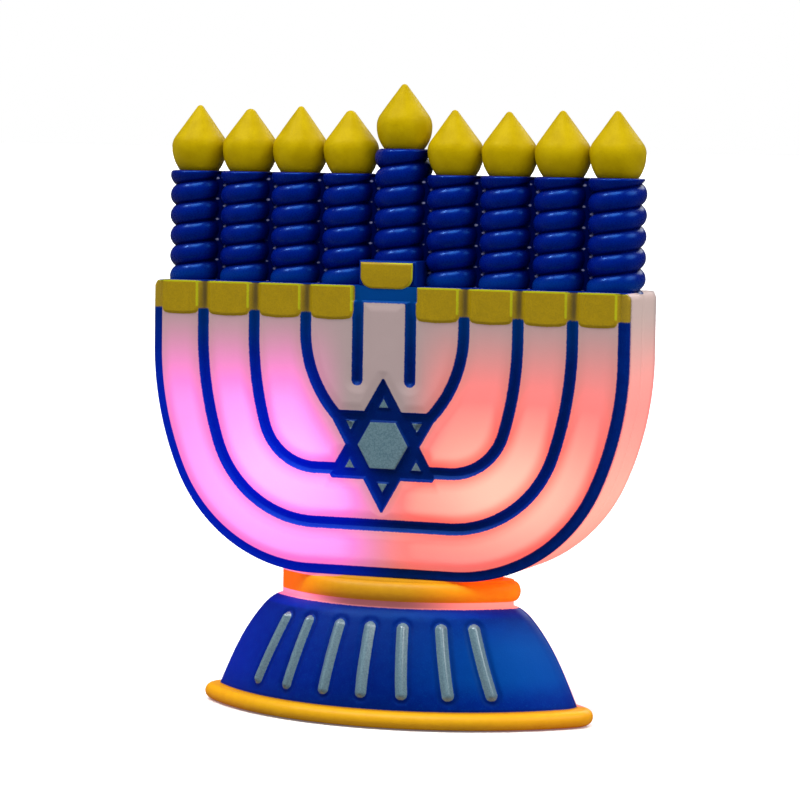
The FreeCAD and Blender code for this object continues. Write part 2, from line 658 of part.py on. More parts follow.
def flame_half(label, side):
    """Half a flame: flat foot, swelling sides, long taper to a rounded tip."""
    body = new_body(label)
    sketch = sketch_on(body, label + "_profile", "XZ_Plane")
    tip_x = "(FlameTipRadius * sin(FlameTipAngle))"
    tip_z = "(FlameHeight - FlameTipRadius * (1 - cos(FlameTipAngle)))"
    draw(sketch, [
        ("0", "0"),
        ("FlameFoot", "0"),
        ("FlameRadius", "FlameBulge", "FlameLowerRadius", 1),
        (tip_x, tip_z, "FlameUpperRadius", 1),
        ("0", "FlameHeight", "FlameTipRadius", 1),
    ])
    half = revolve(body, label + "_revolution", sketch, "V_Axis", 180.0)
    if (body.Shape.CenterOfMass.y > 0) != (side == REAR):
        half.Reversed = True
        doc.recompute()
    return body.Shape


def coil_column(height):
    """Twisted candle: a circle set off its axis, swept up while it turns once per coil pitch."""
    mean, throw = number("CandleRadius"), number("CandleThrow")
    spine = Part.Wire([Part.makeLine(Vector(), Vector(0, 0, height))])
    guide = Part.Wire([Part.makeHelix(number("CoilPitch"), height, 2 * mean)])
    circle = Part.Circle(Vector(0, -throw, 0), Vector(0, 0, 1), mean)
    sweep = Part.BRepOffsetAPI.MakePipeShell(spine)
    sweep.setAuxiliarySpine(guide, False, 0)
    sweep.add(Part.Wire([circle.toShape()]), False, False)
    sweep.build()
    sweep.makeSolid()
    return sweep.shape()


def half_of(shape, side):
    """The part of a shape on one side of the seam plane."""
    box = shape.BoundBox
    reach = box.DiagonalLength
    corner = Vector(-reach, 0 if side == REAR else -reach, box.ZMin - 1)
    return shape.common(Part.makeBox(2 * reach, reach, box.ZLength + 2, corner))


def candle_halves(side):
    """Nine candle and flame halves; the centre one is the tall one."""
    flame = flame_half("front_flame" if side == FRONT else "rear_flame", side)
    foot = number("BowlTop - CandleRoot")
    pitch = number("ArmPitch")
    pieces = []
    for alias, places in (("CandleTop", (-4, -3, -2, -1, 1, 2, 3, 4)), ("TallCandleTop", (0,))):
        top = number(alias)
        column = half_of(coil_column(top - foot), side).translated(Vector(0, 0, foot))
        light = flame.translated(Vector(0, 0, top))
        pieces += [piece.translated(Vector(k * pitch, 0, 0)) for k in places for piece in (column, light)]
    return pieces


def surface_point(shape, across, up):
    """Point of the shape's front face at the given place."""
    probe = Part.makeLine(Vector(across, -60, up), Vector(across, -1, up))
    return min(probe.common(shape).Vertexes, key=lambda vertex: vertex.Y).Point


def rib(dome, foot_x, head_x):
    """Round bar lying along the dome from foot to head."""
    radius, sink = number("RibRadius"), number("RibSink")
    low, high = number("RibFoot"), number("RibHead")
    places = [(foot_x, low), ((foot_x + head_x) / 2, (low + high) / 2), (head_x, high)]
    points = [surface_point(dome, x, z) + Vector(0, sink, 0) for x, z in places]
    path = Part.Wire([Part.Arc(*points).toShape()])
    start = path.Edges[0].tangentAt(path.Edges[0].FirstParameter)
    profile = Part.Wire([Part.Circle(points[0], start, radius).toShape()])
    bar = path.makePipeShell([profile], True, False)
    ends = [Part.makeSphere(radius, point) for point in (points[0], points[2])]
    return bar.fuse(ends)


def ribs(dome):
    """Seven ribs fanned over the front of the dome."""
    made = [rib(dome, 0, 0)]
    for place in ("Near", "Side", "Far"):
        foot, head = number(place + "RibFoot"), number(place + "RibHead")
        made += [rib(dome, sign * foot, sign * head) for sign in (-1, 1)]
    return made


def set_part(label, shape):
    """Finished sub-part whose shape was made in code."""
    made = doc.addObject("Part::Feature", label)
    made.Label = label
    made.Shape = shape
    return made


def front_shell():
    """Painted front half: relief bowl, ribbed dome, candles and flames, hollow inside."""
    bowl = new_body("front_bowl")
    add_front_bowl(bowl)
    cut_grooves(bowl)
    cut_star(bowl)
    add_cups(bowl)
    base = base_form("front_base", FRONT)
    outside = bowl.Shape.multiFuse([base] + ribs(base) + candle_halves(FRONT))
    return set_part("front_shell", outside.cut(inside_form("front_inside", FRONT)))


def rear_shell():
    """Plain rear half, the same outline and thickness as the front one."""
    bowl = new_body("rear_bowl")
    add_rear_bowl(bowl)
    base = base_form("rear_base", REAR)
    outside = bowl.Shape.multiFuse([base] + candle_halves(REAR))
    return set_part("rear_shell", outside.cut(inside_form("rear_inside", REAR)))


# ---------------------------------------------------------------- plug, battery bay and door


def whole_plan(sketch, half_width, half_depth):
    """Full lens-shaped plan, both sides of the seam plane."""
    front = half_plan(half_width, half_depth, FRONT)
    rear = half_plan(half_width, half_depth, REAR)
    back_right, back_left = rear[2], rear[1]
    tip, bow = rear[3][2], rear[2][2]
    draw(sketch, [
        (front[0][0], "0", tip, 1),
        front[1],
        front[2],
        front[3],
        (back_right[0], back_right[1], tip, 1),
        (back_left[0], back_left[1], bow, 1),
    ])


def base_plug():
    """Hard plug that snaps into the shells' mouth and carries the cells, switch and board."""
    body = new_body("base_plug")
    floor = sketch_on(body, "floor_plan", "XY_Plane", "FloorFoot")
    whole_plan(floor, "MouthHalfWidth - Fit", "MouthHalfDepth - Fit")
    pad(body, "floor", floor, "FloorTop - FloorFoot")
    lip = sketch_on(body, "lip_plan", "XY_Plane", "LipFoot")
    whole_plan(lip, "MouthHalfWidth + LipReach", "MouthHalfDepth + LipReach")
    pad(body, "lip", lip, "LipHeight")
    bay = sketch_on(body, "bay_plan", "XY_Plane", "FloorTop - Fit")
    long_side, short_side = "(BayHalfLength + BayWall)", "(BayHalfWidth + BayWall)"
    draw_box(bay, "-" + long_side, long_side, "-" + short_side, short_side)
    pad(body, "bay", bay, "BayTop + BayWall - FloorTop + Fit")
    block = sketch_on(body, "switch_seat_plan", "XY_Plane", "FloorTop - Fit")
    half = "(SwitchHalfWidth + BayWall)"
    draw_box(block, f"ButtonPlace - {half}", f"ButtonPlace + {half}", "-" + half, half)
    pad(body, "switch_seat", block, "SwitchFoot - FloorTop + Fit")
    for name, place, top in (
        ("left_boss", "-DoorScrewReach", "DoorScrewTop + BossRoof"),
        ("board_post", "DoorScrewReach", "BoardFoot"),
    ):
        boss = sketch_on(body, name + "_plan", "XY_Plane", "FloorTop - Fit")
        draw_circle(boss, place, "0", "BossRadius")
        pad(body, name, boss, f"{top} - FloorTop + Fit")
    room = sketch_on(body, "bay_room_plan", "XY_Plane", "0")
    draw_box(room, "-BayHalfLength", "BayHalfLength", "-BayHalfWidth", "BayHalfWidth")
    pocket(body, "bay_room", room, "BayTop", reverse=True)
    recess = sketch_on(body, "door_recess_plan", "XY_Plane", "0")
    length, width = "(DoorHalfLength + 2 * Fit)", "(DoorHalfWidth + 2 * Fit)"
    draw_box(recess, "-" + length, length, "-" + width, width)
    pocket(body, "door_recess", recess, "FloorFoot + DoorThickness + 2 * Fit", reverse=True)
    hole = "(ScrewRadius + Fit)"
    holes = sketch_on(body, "door_screw_plan", "XY_Plane", "0")
    draw_circle(holes, "-DoorScrewReach", "0", hole)
    draw_circle(holes, "DoorScrewReach", "0", hole)
    pocket(body, "door_screw_holes", holes, "DoorScrewTop + ScrewHoleSpare", reverse=True)
    board_hole = sketch_on(body, "board_screw_plan", "XY_Plane", "BoardFoot")
    draw_circle(board_hole, "DoorScrewReach", "0", "ScrewRadius")
    pocket(body, "board_screw_hole", board_hole, "BoardFoot - BoardScrewFoot + ScrewHoleSpare")
    opening = sketch_on(body, "button_plan", "XY_Plane", "0")
    draw_circle(opening, "ButtonPlace", "0", "ButtonRadius + 1.5 * Fit")
    pocket(body, "button_hole", opening, "SwitchFoot", reverse=True)
    chamber = sketch_on(body, "flange_plan", "XY_Plane", "SwitchFoot")
    draw_circle(chamber, "ButtonPlace", "0", "ButtonFlange + 1.5 * Fit")
    pocket(body, "flange_chamber", chamber, "SwitchFoot - FloorTop")
    slots = sketch_on(body, "tab_slot_plan", "XY_Plane", "BayTop + BayWall")
    inner = "(BayHalfLength - ContactThickness - Fit)"
    tab = "(TabHalfWidth + Fit)"
    draw_box(slots, inner, "BayHalfLength", "-" + tab, tab)
    draw_box(slots, "-BayHalfLength", "-" + inner, "-" + tab, tab)
    pocket(body, "tab_slots", slots, "BayWall")


def battery_door():
    """Flat door with a countersunk seat for a screw at each end."""
    body = new_body("battery_door")
    plan = sketch_on(body, "door_plan", "XY_Plane", "FloorFoot")
    draw_box(plan, "-DoorHalfLength", "DoorHalfLength", "-DoorHalfWidth", "DoorHalfWidth")
    plate = pad(body, "door", plan, "DoorThickness")

    def upright_corner(edge):
        return edge.BoundBox.ZLength > number("DoorThickness") - NEAR

    fillet(body, plate, "door_corners", "BayWall", upright_corner)
    seats = sketch_on(body, "head_seat_plan", "XY_Plane", "FloorFoot")
    holes = sketch_on(body, "screw_hole_plan", "XY_Plane", "FloorFoot")
    for place in ("-DoorScrewReach", "DoorScrewReach"):
        draw_circle(seats, place, "0", "ScrewHeadRadius + 2 * Fit")
        draw_circle(holes, place, "0", "ScrewRadius + 2 * Fit")
    pocket(body, "head_seats", seats, "ScrewHeadHeight + 2 * Fit", reverse=True)
    pocket(body, "screw_holes", holes, "DoorThickness", reverse=True)


def pan_screw(label, across, head_foot, point, upward):
    """Pan-head screw with a cross slot; upward screws have their head below."""
    body = new_body(label)
    profile = sketch_on(body, "screw_profile", "XZ_Plane")
    sign = "" if upward else "-"
    under_head = f"({sign}ScrewHeadHeight)"
    tip = f"({sign}({point} - {head_foot}))" if upward else f"(-({head_foot} - {point}))"
    cone = f"({tip} - ({sign}ScrewPointLength))"
    draw(profile, [
        ("0", "0"),
        ("ScrewHeadRadius", "0"),
        ("ScrewHeadRadius", under_head),
        ("ScrewRadius", under_head),
        ("ScrewRadius", cone),
        ("ScrewPointRadius", tip),
        ("0", tip),
    ])
    revolve(body, "screw", profile, "V_Axis")
    slot = sketch_on(body, "slot_plan", "XY_Plane")
    reach, half = "ScrewSlotReach", "ScrewSlotHalfWidth"
    draw(slot, [
        (reach, "-" + half), (reach, half), (half, half), (half, reach),
        ("-" + half, reach), ("-" + half, half), ("-" + reach, half), ("-" + reach, "-" + half),
        ("-" + half, "-" + half), ("-" + half, "-" + reach), (half, "-" + reach), (half, "-" + half),
    ])
    pocket(body, "cross_slot", slot, "ScrewSlotDepth", reverse=upward)
    body.setExpression("Placement.Base.x", sized(across))
    body.setExpression("Placement.Base.z", sized(head_foot))


def button_cell(index):
    """LR44 cell lying on its side: a wide can with a smaller raised negative cap."""
    body = new_body(f"button_cell_{index}")
    profile = sketch_on(body, "cell_profile", "XZ_Plane")
    draw(profile, [
        ("0", "0"),
        ("0", "CellCapRadius"),
        ("CellCapHeight", "CellCapRadius"),
        ("CellShoulder", "CellRadius"),
        ("CellLength", "CellRadius"),
        ("CellLength", "0"),
    ])
    revolve(body, "cell", profile, "H_Axis")
    place = f"BayHalfLength - ContactThickness - {4 - index} * CellLength"
    body.setExpression("Placement.Base.x", sized(place))
    body.setExpression("Placement.Base.z", sized("CellCentre"))


def contact_plate(label, sign):
    """Sprung-steel plate on the bay's end wall, with a solder tab up through the ceiling."""
    body = new_body(label)
    plate = sketch_on(body, "plate_outline", "YZ_Plane", "BayHalfLength - ContactThickness")
    low, shoulder = "(CellCentre - ContactHalfWidth)", "(CellCentre + ContactHalfWidth)"
    draw(plate, [
        ("-ContactHalfWidth", low),
        ("ContactHalfWidth", low),
        ("ContactHalfWidth", shoulder),
        ("TabHalfWidth", shoulder),
        ("TabHalfWidth", "TabTop"),
        ("-TabHalfWidth", "TabTop"),
        ("-TabHalfWidth", shoulder),
        ("-ContactHalfWidth", shoulder),
    ])
    pad(body, "plate", plate, "ContactThickness")
    hole = sketch_on(body, "solder_hole_outline", "YZ_Plane", "BayHalfLength - ContactThickness")
    draw_circle(hole, "0", "TabTop - TabHalfWidth / 2", "TabHalfWidth / 4")
    pocket(body, "solder_hole", hole, "ContactThickness", reverse=True)
    if sign < 0:
        body.Placement = Placement(Vector(), Rotation(Vector(0, 0, 1), 180))


def coil_spring(label, foot_radius, head_radius, wire, length, turns):
    """Open coil spring along its own +Z, its wire's surface touching z = 0 and z = length."""
    body = new_body(label)
    profile = sketch_on(body, "wire_profile", "XZ_Plane")
    draw_circle(profile, foot_radius, f"{wire} / 2", f"{wire} / 2")
    spring = body.newObject("PartDesign::AdditiveHelix", "coil")
    spring.Profile = profile
    spring.ReferenceAxis = (profile, ["V_Axis"])
    spring.Mode = "height-turns-growth"
    spring.Turns = turns
    spring.setExpression("Height", sized(f"({length}) - {wire}"))
    spring.setExpression("Growth", sized(f"(({head_radius}) - ({foot_radius})) / {turns}"))
    doc.recompute()
    return body


def contact_spring():
    """Conical battery spring from the negative plate to the first cell's cap."""
    length = "(2 * BayHalfLength - 2 * ContactThickness - 3 * CellLength)"
    body = coil_spring("contact_spring", "ContactCoilRadius", "ContactCoilTip", "ContactWire", length, 3)
    body.Placement = Placement(Vector(), Rotation(Vector(0, 1, 0), 90))
    body.setExpression("Placement.Base.x", sized("ContactThickness - BayHalfLength"))
    body.setExpression("Placement.Base.z", sized("CellCentre"))


# ---------------------------------------------------------------- button, switch and board


def push_button():
    """Button in the plug's underside, kept in by its flange, with a socket for the plunger."""
    body = new_body("push_button")
    profile = sketch_on(body, "button_profile", "XZ_Plane")
    flange_foot = "(FloorTop + Fit)"
    draw(profile, [
        ("0", "ButtonFoot"),
        ("ButtonRadius - ButtonEdge", "ButtonFoot"),
        ("ButtonRadius", "ButtonFoot + ButtonEdge"),
        ("ButtonRadius", flange_foot),
        ("ButtonFlange", flange_foot),
        ("ButtonFlange", f"{flange_foot} + ButtonFlangeHeight"),
        ("0", f"{flange_foot} + ButtonFlangeHeight"),
    ])
    revolve(body, "button", profile, "V_Axis")
    socket = sketch_on(body, "socket_plan", "XY_Plane", f"{flange_foot} + ButtonFlangeHeight")
    draw_box(socket, "-PlungerHalfWidth", "PlungerHalfWidth", "-PlungerHalfWidth", "PlungerHalfWidth")
    pocket(body, "socket", socket, f"{flange_foot} + ButtonFlangeHeight - PlungerFoot")
    body.setExpression("Placement.Base.x", sized("ButtonPlace"))


def switch_plunger():
    """Square plunger with a round head that the return spring presses on."""
    body = new_body("switch_plunger")
    stem = sketch_on(body, "stem_plan", "XY_Plane", "PlungerFoot")
    draw_box(stem, "-PlungerHalfWidth", "PlungerHalfWidth", "-PlungerHalfWidth", "PlungerHalfWidth")
    pad(body, "stem", stem, "PlungerHeadFoot - PlungerFoot")
    head = sketch_on(body, "head_plan", "XY_Plane", "PlungerHeadFoot")
    draw_circle(head, "0", "0", "PlungerHeadRadius")
    pad(body, "head", head, "PlungerHeadHeight")
    body.setExpression("Placement.Base.x", sized("ButtonPlace"))


def switch_body():
    """Latching switch: square case, open at the top against the board."""
    body = new_body("switch_body")
    plan = sketch_on(body, "case_plan", "XY_Plane", "SwitchFoot")
    draw_box(plan, "-SwitchHalfWidth", "SwitchHalfWidth", "-SwitchHalfWidth", "SwitchHalfWidth")
    pad(body, "case", plan, "BoardFoot - SwitchFoot")
    bore = sketch_on(body, "bore_plan", "XY_Plane", "BoardFoot")
    draw_circle(bore, "0", "0", "SwitchBoreRadius")
    pocket(body, "bore", bore, "BoardFoot - SwitchFoot - SwitchFloor")
    way = sketch_on(body, "stem_way_plan", "XY_Plane", "BoardFoot")
    half = "(PlungerHalfWidth + Fit)"
    draw_box(way, "-" + half, half, "-" + half, half)
    pocket(body, "stem_way", way, "BoardFoot - SwitchFoot")
    body.setExpression("Placement.Base.x", sized("ButtonPlace"))


def switch_spring():
    """Return spring between the plunger's head and the board."""
    head_top = "(PlungerHeadFoot + PlungerHeadHeight)"
    length = f"(BoardFoot - {head_top})"
    body = coil_spring("switch_spring", "SwitchCoilRadius", "SwitchCoilRadius", "SwitchWire", length, 3)
    body.setExpression("Placement.Base.x", sized("ButtonPlace"))
    body.setExpression("Placement.Base.z", sized(head_top))


def circuit_board():
    """Board over the switch, screwed to the post beside the battery bay."""
    body = new_body("circuit_board")
    plan = sketch_on(body, "board_plan", "XY_Plane", "BoardFoot")
    draw_box(plan, "BoardStart", "BoardEnd", "-BoardHalfWidth", "BoardHalfWidth")
    pad(body, "board", plan, "BoardThickness")
    hole = sketch_on(body, "board_hole_plan", "XY_Plane", "BoardFoot")
    draw_circle(hole, "DoorScrewReach", "0", "ScrewRadius + 2 * Fit")
    pocket(body, "board_hole", hole, "BoardThickness", reverse=True)


def driver_chip():
    """Domed blob of resin over the bare driver chip."""
    body = new_body("driver_chip")
    profile = sketch_on(body, "blob_profile", "XZ_Plane", "0")
    bend = "((BlobRadius^2 + BlobHeight^2) / (2 * BlobHeight))"
    draw(profile, [("0", "0"), ("BlobRadius", "0"), ("0", "BlobHeight", bend, 1)])
    revolve(body, "blob", profile, "V_Axis")
    body.setExpression("Placement.Base.x", sized("BlobPlace"))
    body.setExpression("Placement.Base.z", sized("BoardFoot + BoardThickness"))


def board_resistors():
    """Two chip resistors at the board's outer end, one for each light."""
    top = number("BoardFoot + BoardThickness")
    width, length, height = number("ResistorWidth"), number("ResistorLength"), number("ResistorHeight")
    margin = number("ResistorMargin")
    place = number("BoardEnd") - margin - width
    starts = (-margin - length, margin)
    chips = [Part.makeBox(width, length, height, Vector(place, y, top)) for y in starts]
    set_part("board_resistors", Part.makeCompound(chips))


# ---------------------------------------------------------------- lights and their mast


def led_mast():
    """T-shaped post on the battery bay that holds a light at each end of its crossbar."""
    body = new_body("led_mast")
    foot = sketch_on(body, "foot_plan", "XY_Plane", "BayTop + BayWall")
    length, width = "(MastFootLength / 2)", "(MastFootWidth / 2)"
    draw_box(foot, "-" + length, length, "-" + width, width)
    pad(body, "foot", foot, "MastFootHeight")
    outline = sketch_on(body, "mast_outline", "XZ_Plane")
    half, low = "(MastWidth / 2)", "(BayTop + BayWall)"
    bar_low, bar_high = "(MastCrossbar - CrossbarHeight / 2)", "(MastCrossbar + CrossbarHeight / 2)"
    draw(outline, [
        ("-" + half, low),
        (half, low),
        (half, bar_low),
        ("CrossbarHalfLength", bar_low),
        ("CrossbarHalfLength", bar_high),
        ("-CrossbarHalfLength", bar_high),
        ("-CrossbarHalfLength", bar_low),
        ("-" + half, bar_low),
    ])
    pad(body, "post", outline, "MastDepth", both=True)
    for name, start in (("right", "CrossbarHalfLength"), ("left", "-CrossbarHalfLength - SocketLength")):
        ring = sketch_on(body, name + "_socket_outline", "YZ_Plane", start)
        draw_circle(ring, "0", "MastCrossbar", "SocketRadius")
        pad(body, name + "_socket", ring, "SocketLength")
        bore = sketch_on(body, name + "_bore_outline", "YZ_Plane", start)
        draw_circle(bore, "0", "MastCrossbar", "LightFlange")
        pocket(body, name + "_bore", bore, "SocketLength", reverse=True)


def light(label, sign):
    """Light with a flange in the mast's socket and a domed barrel pointing outward."""
    body = new_body(label)
    profile = sketch_on(body, "light_profile", "XZ_Plane")
    barrel = "(LightFlangeLength + LightLength - LightRadius)"
    draw(profile, [
        ("0", "0"),
        ("LightFlangeLength + LightLength", "0"),
        (barrel, "LightRadius", "LightRadius", 1),
        ("LightFlangeLength", "LightRadius"),
        ("LightFlangeLength", "LightFlange"),
        ("0", "LightFlange"),
    ])
    revolve(body, "light", profile, "H_Axis")
    if sign < 0:
        body.Placement = Placement(Vector(), Rotation(Vector(0, 0, 1), 180))
    body.setExpression("Placement.Base.x", sized(f"{sign} * CrossbarHalfLength"))
    body.setExpression("Placement.Base.z", sized("MastCrossbar"))


def rounded_path(points, bend):
    """Polyline whose corners are replaced by tangent arcs starting a bend's length from each corner."""
    points = [Vector(*point) for point in points]
    curves = []
    start = points[0]
    for before, corner, after in zip(points, points[1:], points[2:]):
        arriving = (corner - before).normalize()
        leaving = (after - corner).normalize()
        enter, exit_point = corner - arriving * bend, corner + leaving * bend
        inward = (leaving - arriving).normalize()
        half_turn = arriving.getAngle(leaving) / 2
        radius = bend / math.tan(half_turn)
        middle = corner + inward * (radius / math.cos(half_turn) - radius)
        curves.append(Part.makeLine(start, enter))
        curves.append(Part.Arc(enter, middle, exit_point).toShape())
        start = exit_point
    curves.append(Part.makeLine(start, points[-1]))
    return Part.Wire(curves)


def wire(points):
    """Insulated wire along a path with rounded corners."""
    spine = rounded_path(points, number("WireBend"))
    heading = spine.Edges[0].tangentAt(spine.Edges[0].FirstParameter)
    circle = Part.Circle(Vector(*points[0]), heading, number("WireRadius"))
    return spine.makePipeShell([Part.Wire([circle.toShape()])], True, True)


def light_wires(colour, sign):
    """Pair of wires: along the crossbar, down the post, across over the bay, down to the board."""
    title = colour.capitalize() + "Wire"
    level, lane, drop = number(title + "Level"), number(title + "Lane"), number(title + "Drop")
    face = number("MastDepth / 2 + WireRadius + WireGap")
    beside = sign * number("MastWidth / 4")
    bar = number("MastCrossbar")
    end = number("CrossbarHalfLength - WireGap")
    board_top = number("BoardFoot + BoardThickness + WireGap")
    made = []
    for side in (FRONT, REAR):
        made.append(wire([
            (sign * end, side * face, bar),
            (beside, side * face, bar),
            (beside, side * face, level),
            (number("MastWidth"), side * lane, level),
            (drop, side * lane, level),
            (drop, side * lane, board_top),
        ]))
    set_part(colour + "_led_wires", Part.makeCompound(made))


def battery_wires():
    """Wires from the two contact tabs, over the bay's ceiling, to the board."""
    joint_y, landing_y = number("SolderJointPlace"), number("BatteryWireLanding")
    drop, lane = number("BatteryWireDrop"), number("NegativeWireLane")
    high, low = number("PositiveWireLevel"), number("NegativeWireLevel")
    board_top = number("BoardFoot + BoardThickness + WireGap")
    outer_face = number("BayHalfLength + WireGap")
    inner_face = number("BayHalfLength - ContactThickness - WireGap")
    turn_x = inner_face - number("NegativeWireTurn")
    positive = wire([
        (outer_face, joint_y, high),
        (drop, landing_y, high),
        (drop, landing_y, board_top),
    ])
    negative = wire([
        (-inner_face, -joint_y, high),
        (-turn_x, -joint_y, high),
        (-turn_x, -lane, low),
        (turn_x, -lane, low),
        (drop, -landing_y, low),
        (drop, -landing_y, board_top),
    ])
    set_part("battery_wires", Part.makeCompound([positive, negative]))


# ---------------------------------------------------------------- assembly and export

NODES = [
    "front_shell", "rear_shell", "base_plug", "battery_door", "left_door_screw", "right_door_screw",
    "button_cell_1", "button_cell_2", "button_cell_3", "positive_contact", "negative_contact",
    "contact_spring", "push_button", "switch_plunger", "switch_body", "switch_spring",
    "circuit_board", "board_screw", "driver_chip", "board_resistors", "led_mast",
    "magenta_led", "red_led", "magenta_led_wires", "red_led_wires", "battery_wires",
]


def build():
    """Make every sub-part."""
    front_shell()
    rear_shell()
    build_module()


def build_module():
    """Make the plug, the cells and everything that lights the shells."""
    base_plug()
    battery_door()
    head_foot = "(FloorFoot + 2 * Fit)"
    pan_screw("left_door_screw", "-DoorScrewReach", head_foot, "DoorScrewTop", True)
    pan_screw("right_door_screw", "DoorScrewReach", head_foot, "DoorScrewTop", True)
    for index in (1, 2, 3):
        button_cell(index)
    contact_plate("positive_contact", 1)
    contact_plate("negative_contact", -1)
    contact_spring()
    push_button()
    switch_plunger()
    switch_body()
    switch_spring()
    circuit_board()
    head_top = "(BoardFoot + BoardThickness + ScrewHeadHeight)"
    pan_screw("board_screw", "DoorScrewReach", head_top, "BoardScrewFoot", False)
    driver_chip()
    board_resistors()
    led_mast()
    light("magenta_led", -1)
    light("red_led", 1)
    light_wires("magenta", -1)
    light_wires("red", 1)
    battery_wires()


def check_document():
    """Stop on any failed object or any sub-part that is not a set of valid solids."""
    doc.recompute()
    for item in doc.Objects:
        if "Invalid" in item.State or "Error" in item.State:
            raise RuntimeError(item.Name + " failed: " + item.getStatusString())
    for label in NODES:
        shape = doc.getObjectsByLabel(label)[0].Shape
        if shape.isNull() or not shape.isValid() or not shape.Solids:
            raise RuntimeError(label + " has no valid solid")


def export():
    os.makedirs("parts", exist_ok=True)
    for label in NODES:
        doc.getObjectsByLabel(label)[0].Shape.exportStep(os.path.join("parts", label + ".step"))


build()
check_document()
export()
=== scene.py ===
# Looks of the light-up menorah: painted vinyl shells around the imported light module.
# Lengths are millimetres in the frame of the CAD part (+X right, +Y back, +Z up) until a mesh is made.

import functools
import math

import bmesh
import bpy
import numpy as np
from mathutils import Matrix, Vector
from mathutils.kdtree import KDTree

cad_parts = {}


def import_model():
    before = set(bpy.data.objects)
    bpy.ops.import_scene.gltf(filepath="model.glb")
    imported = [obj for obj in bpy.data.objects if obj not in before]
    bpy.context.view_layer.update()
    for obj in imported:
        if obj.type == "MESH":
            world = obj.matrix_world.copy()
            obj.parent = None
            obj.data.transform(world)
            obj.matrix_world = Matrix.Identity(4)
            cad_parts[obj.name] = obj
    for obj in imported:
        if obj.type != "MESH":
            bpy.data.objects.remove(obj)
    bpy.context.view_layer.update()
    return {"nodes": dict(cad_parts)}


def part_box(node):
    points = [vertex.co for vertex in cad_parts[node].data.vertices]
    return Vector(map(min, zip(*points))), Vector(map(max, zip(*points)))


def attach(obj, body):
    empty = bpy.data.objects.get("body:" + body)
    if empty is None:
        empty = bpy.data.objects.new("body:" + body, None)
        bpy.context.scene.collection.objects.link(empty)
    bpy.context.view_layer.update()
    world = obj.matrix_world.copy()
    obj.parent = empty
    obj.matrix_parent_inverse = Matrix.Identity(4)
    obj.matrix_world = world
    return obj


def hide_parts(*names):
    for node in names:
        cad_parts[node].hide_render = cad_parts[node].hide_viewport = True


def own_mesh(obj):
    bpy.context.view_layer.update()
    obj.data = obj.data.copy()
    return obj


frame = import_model()

MM = 0.001
BODY = "menorah"  # the CAD body that every new piece rides on
FRONT, REAR = -1, 1
FAR = 99.0  # stands for "not near anything" in distances
FINE = 0.2  # spacing of the mesh on the relief
COARSE = 0.6  # and on the plain rear half
WELD = 0.0005  # points closer than this are one point
SHARP_ANGLE = 42  # degrees; edges bent more than this are shaded as corners

shell_low, shell_high = (np.array(corner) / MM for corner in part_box("front_shell"))

# ---- sizes: bowl

LEDGE = 77.1  # height of the bowl's top, where the candles stand
BOWL_DEPTH = 8.9  # from the seam plane to the arms' face
BOWL_FOOT = 25.2
RELIEF = 0.9  # depth of the painted lines behind the arms' face
EDGE_ROLL = 0.22  # how far the arms' face falls beside a line
FRONT_EDGE = 0.4  # rounding of the face's edge
REAR_EDGE = 1.2
RABBET = 1.7  # width of the sunk border round the face
WALL = 1.8
SEAM_CHAMFER = 0.12
TOP_ROUND = 1.3  # rounding of the ledge's two ends
HOLE_HALF_WIDTH = 4.0  # opening in the bowl's floor for the light mast
HOLE_DEPTH = 3.0
GROOVE = 0.9  # half the width of a painted line
PITCH = 10.0  # from candle to candle, and from arm to arm
STEM_TOP = 74.3
STEM_GROOVE_FOOT = 60.4
STEM_RECESS = 6.1  # half the width of the sunk field above the stem

# ---- sizes: cups, star, candles and flames

CUP_SIDE = 5.7  # height of a cup's side below the ledge
CUP_RADIUS = 24.0  # of its sagging foot
CUP_CORNER = 0.7
CUP_RAISE = 0.25  # how far it stands in front of the arms
CUP_HALF = 4.95  # half the width of the raised centre cup
CUP_FOOT = LEDGE - 0.55
CUP_TOP = LEDGE + 4.2
CUPS = [(sign * k * PITCH, 3.9) for k in (1, 2, 3) for sign in (-1, 1)]  # centre, half width
CUPS += [(sign * 39.55, 3.45) for sign in (-1, 1)]

STAR_CENTRE = 48.8
STAR_RADIUS = 11.9
STAR_SIDE_REACH = 11.2  # the four side points are blunter
HEXAGON = 4.9
TILE_REACH = 7.3
TILE_RADIUS = 1.45

CANDLE_CREST = 5.2  # radius over a coil
CANDLE_CREVICE = 4.15  # and between two coils
COIL_PITCH = 3.7
COIL_START = 0.1
CANDLE_FOOT = LEDGE - 0.3
CANDLE_TOP = 96.9
CANDLE_EDGE = 0.5
WEB_DEPTH = 1.9
FLAME_HEIGHT = 11.9
FLAME_LEAN = (0.1, 0.1, 0.0, -0.35, -0.1, -0.45, -0.25, -0.3, -0.25)  # of the tips, left to right
FLAME_EXTRA = (0.25, 0.0, 0.25, -0.1, -0.1, -0.1, -0.3, 0.0, 0.05)  # added height of the tips
TALL_CANDLE_TOP = shell_high[2] - FLAME_HEIGHT

# ---- sizes: base and spring; a plan is half a width and half a depth

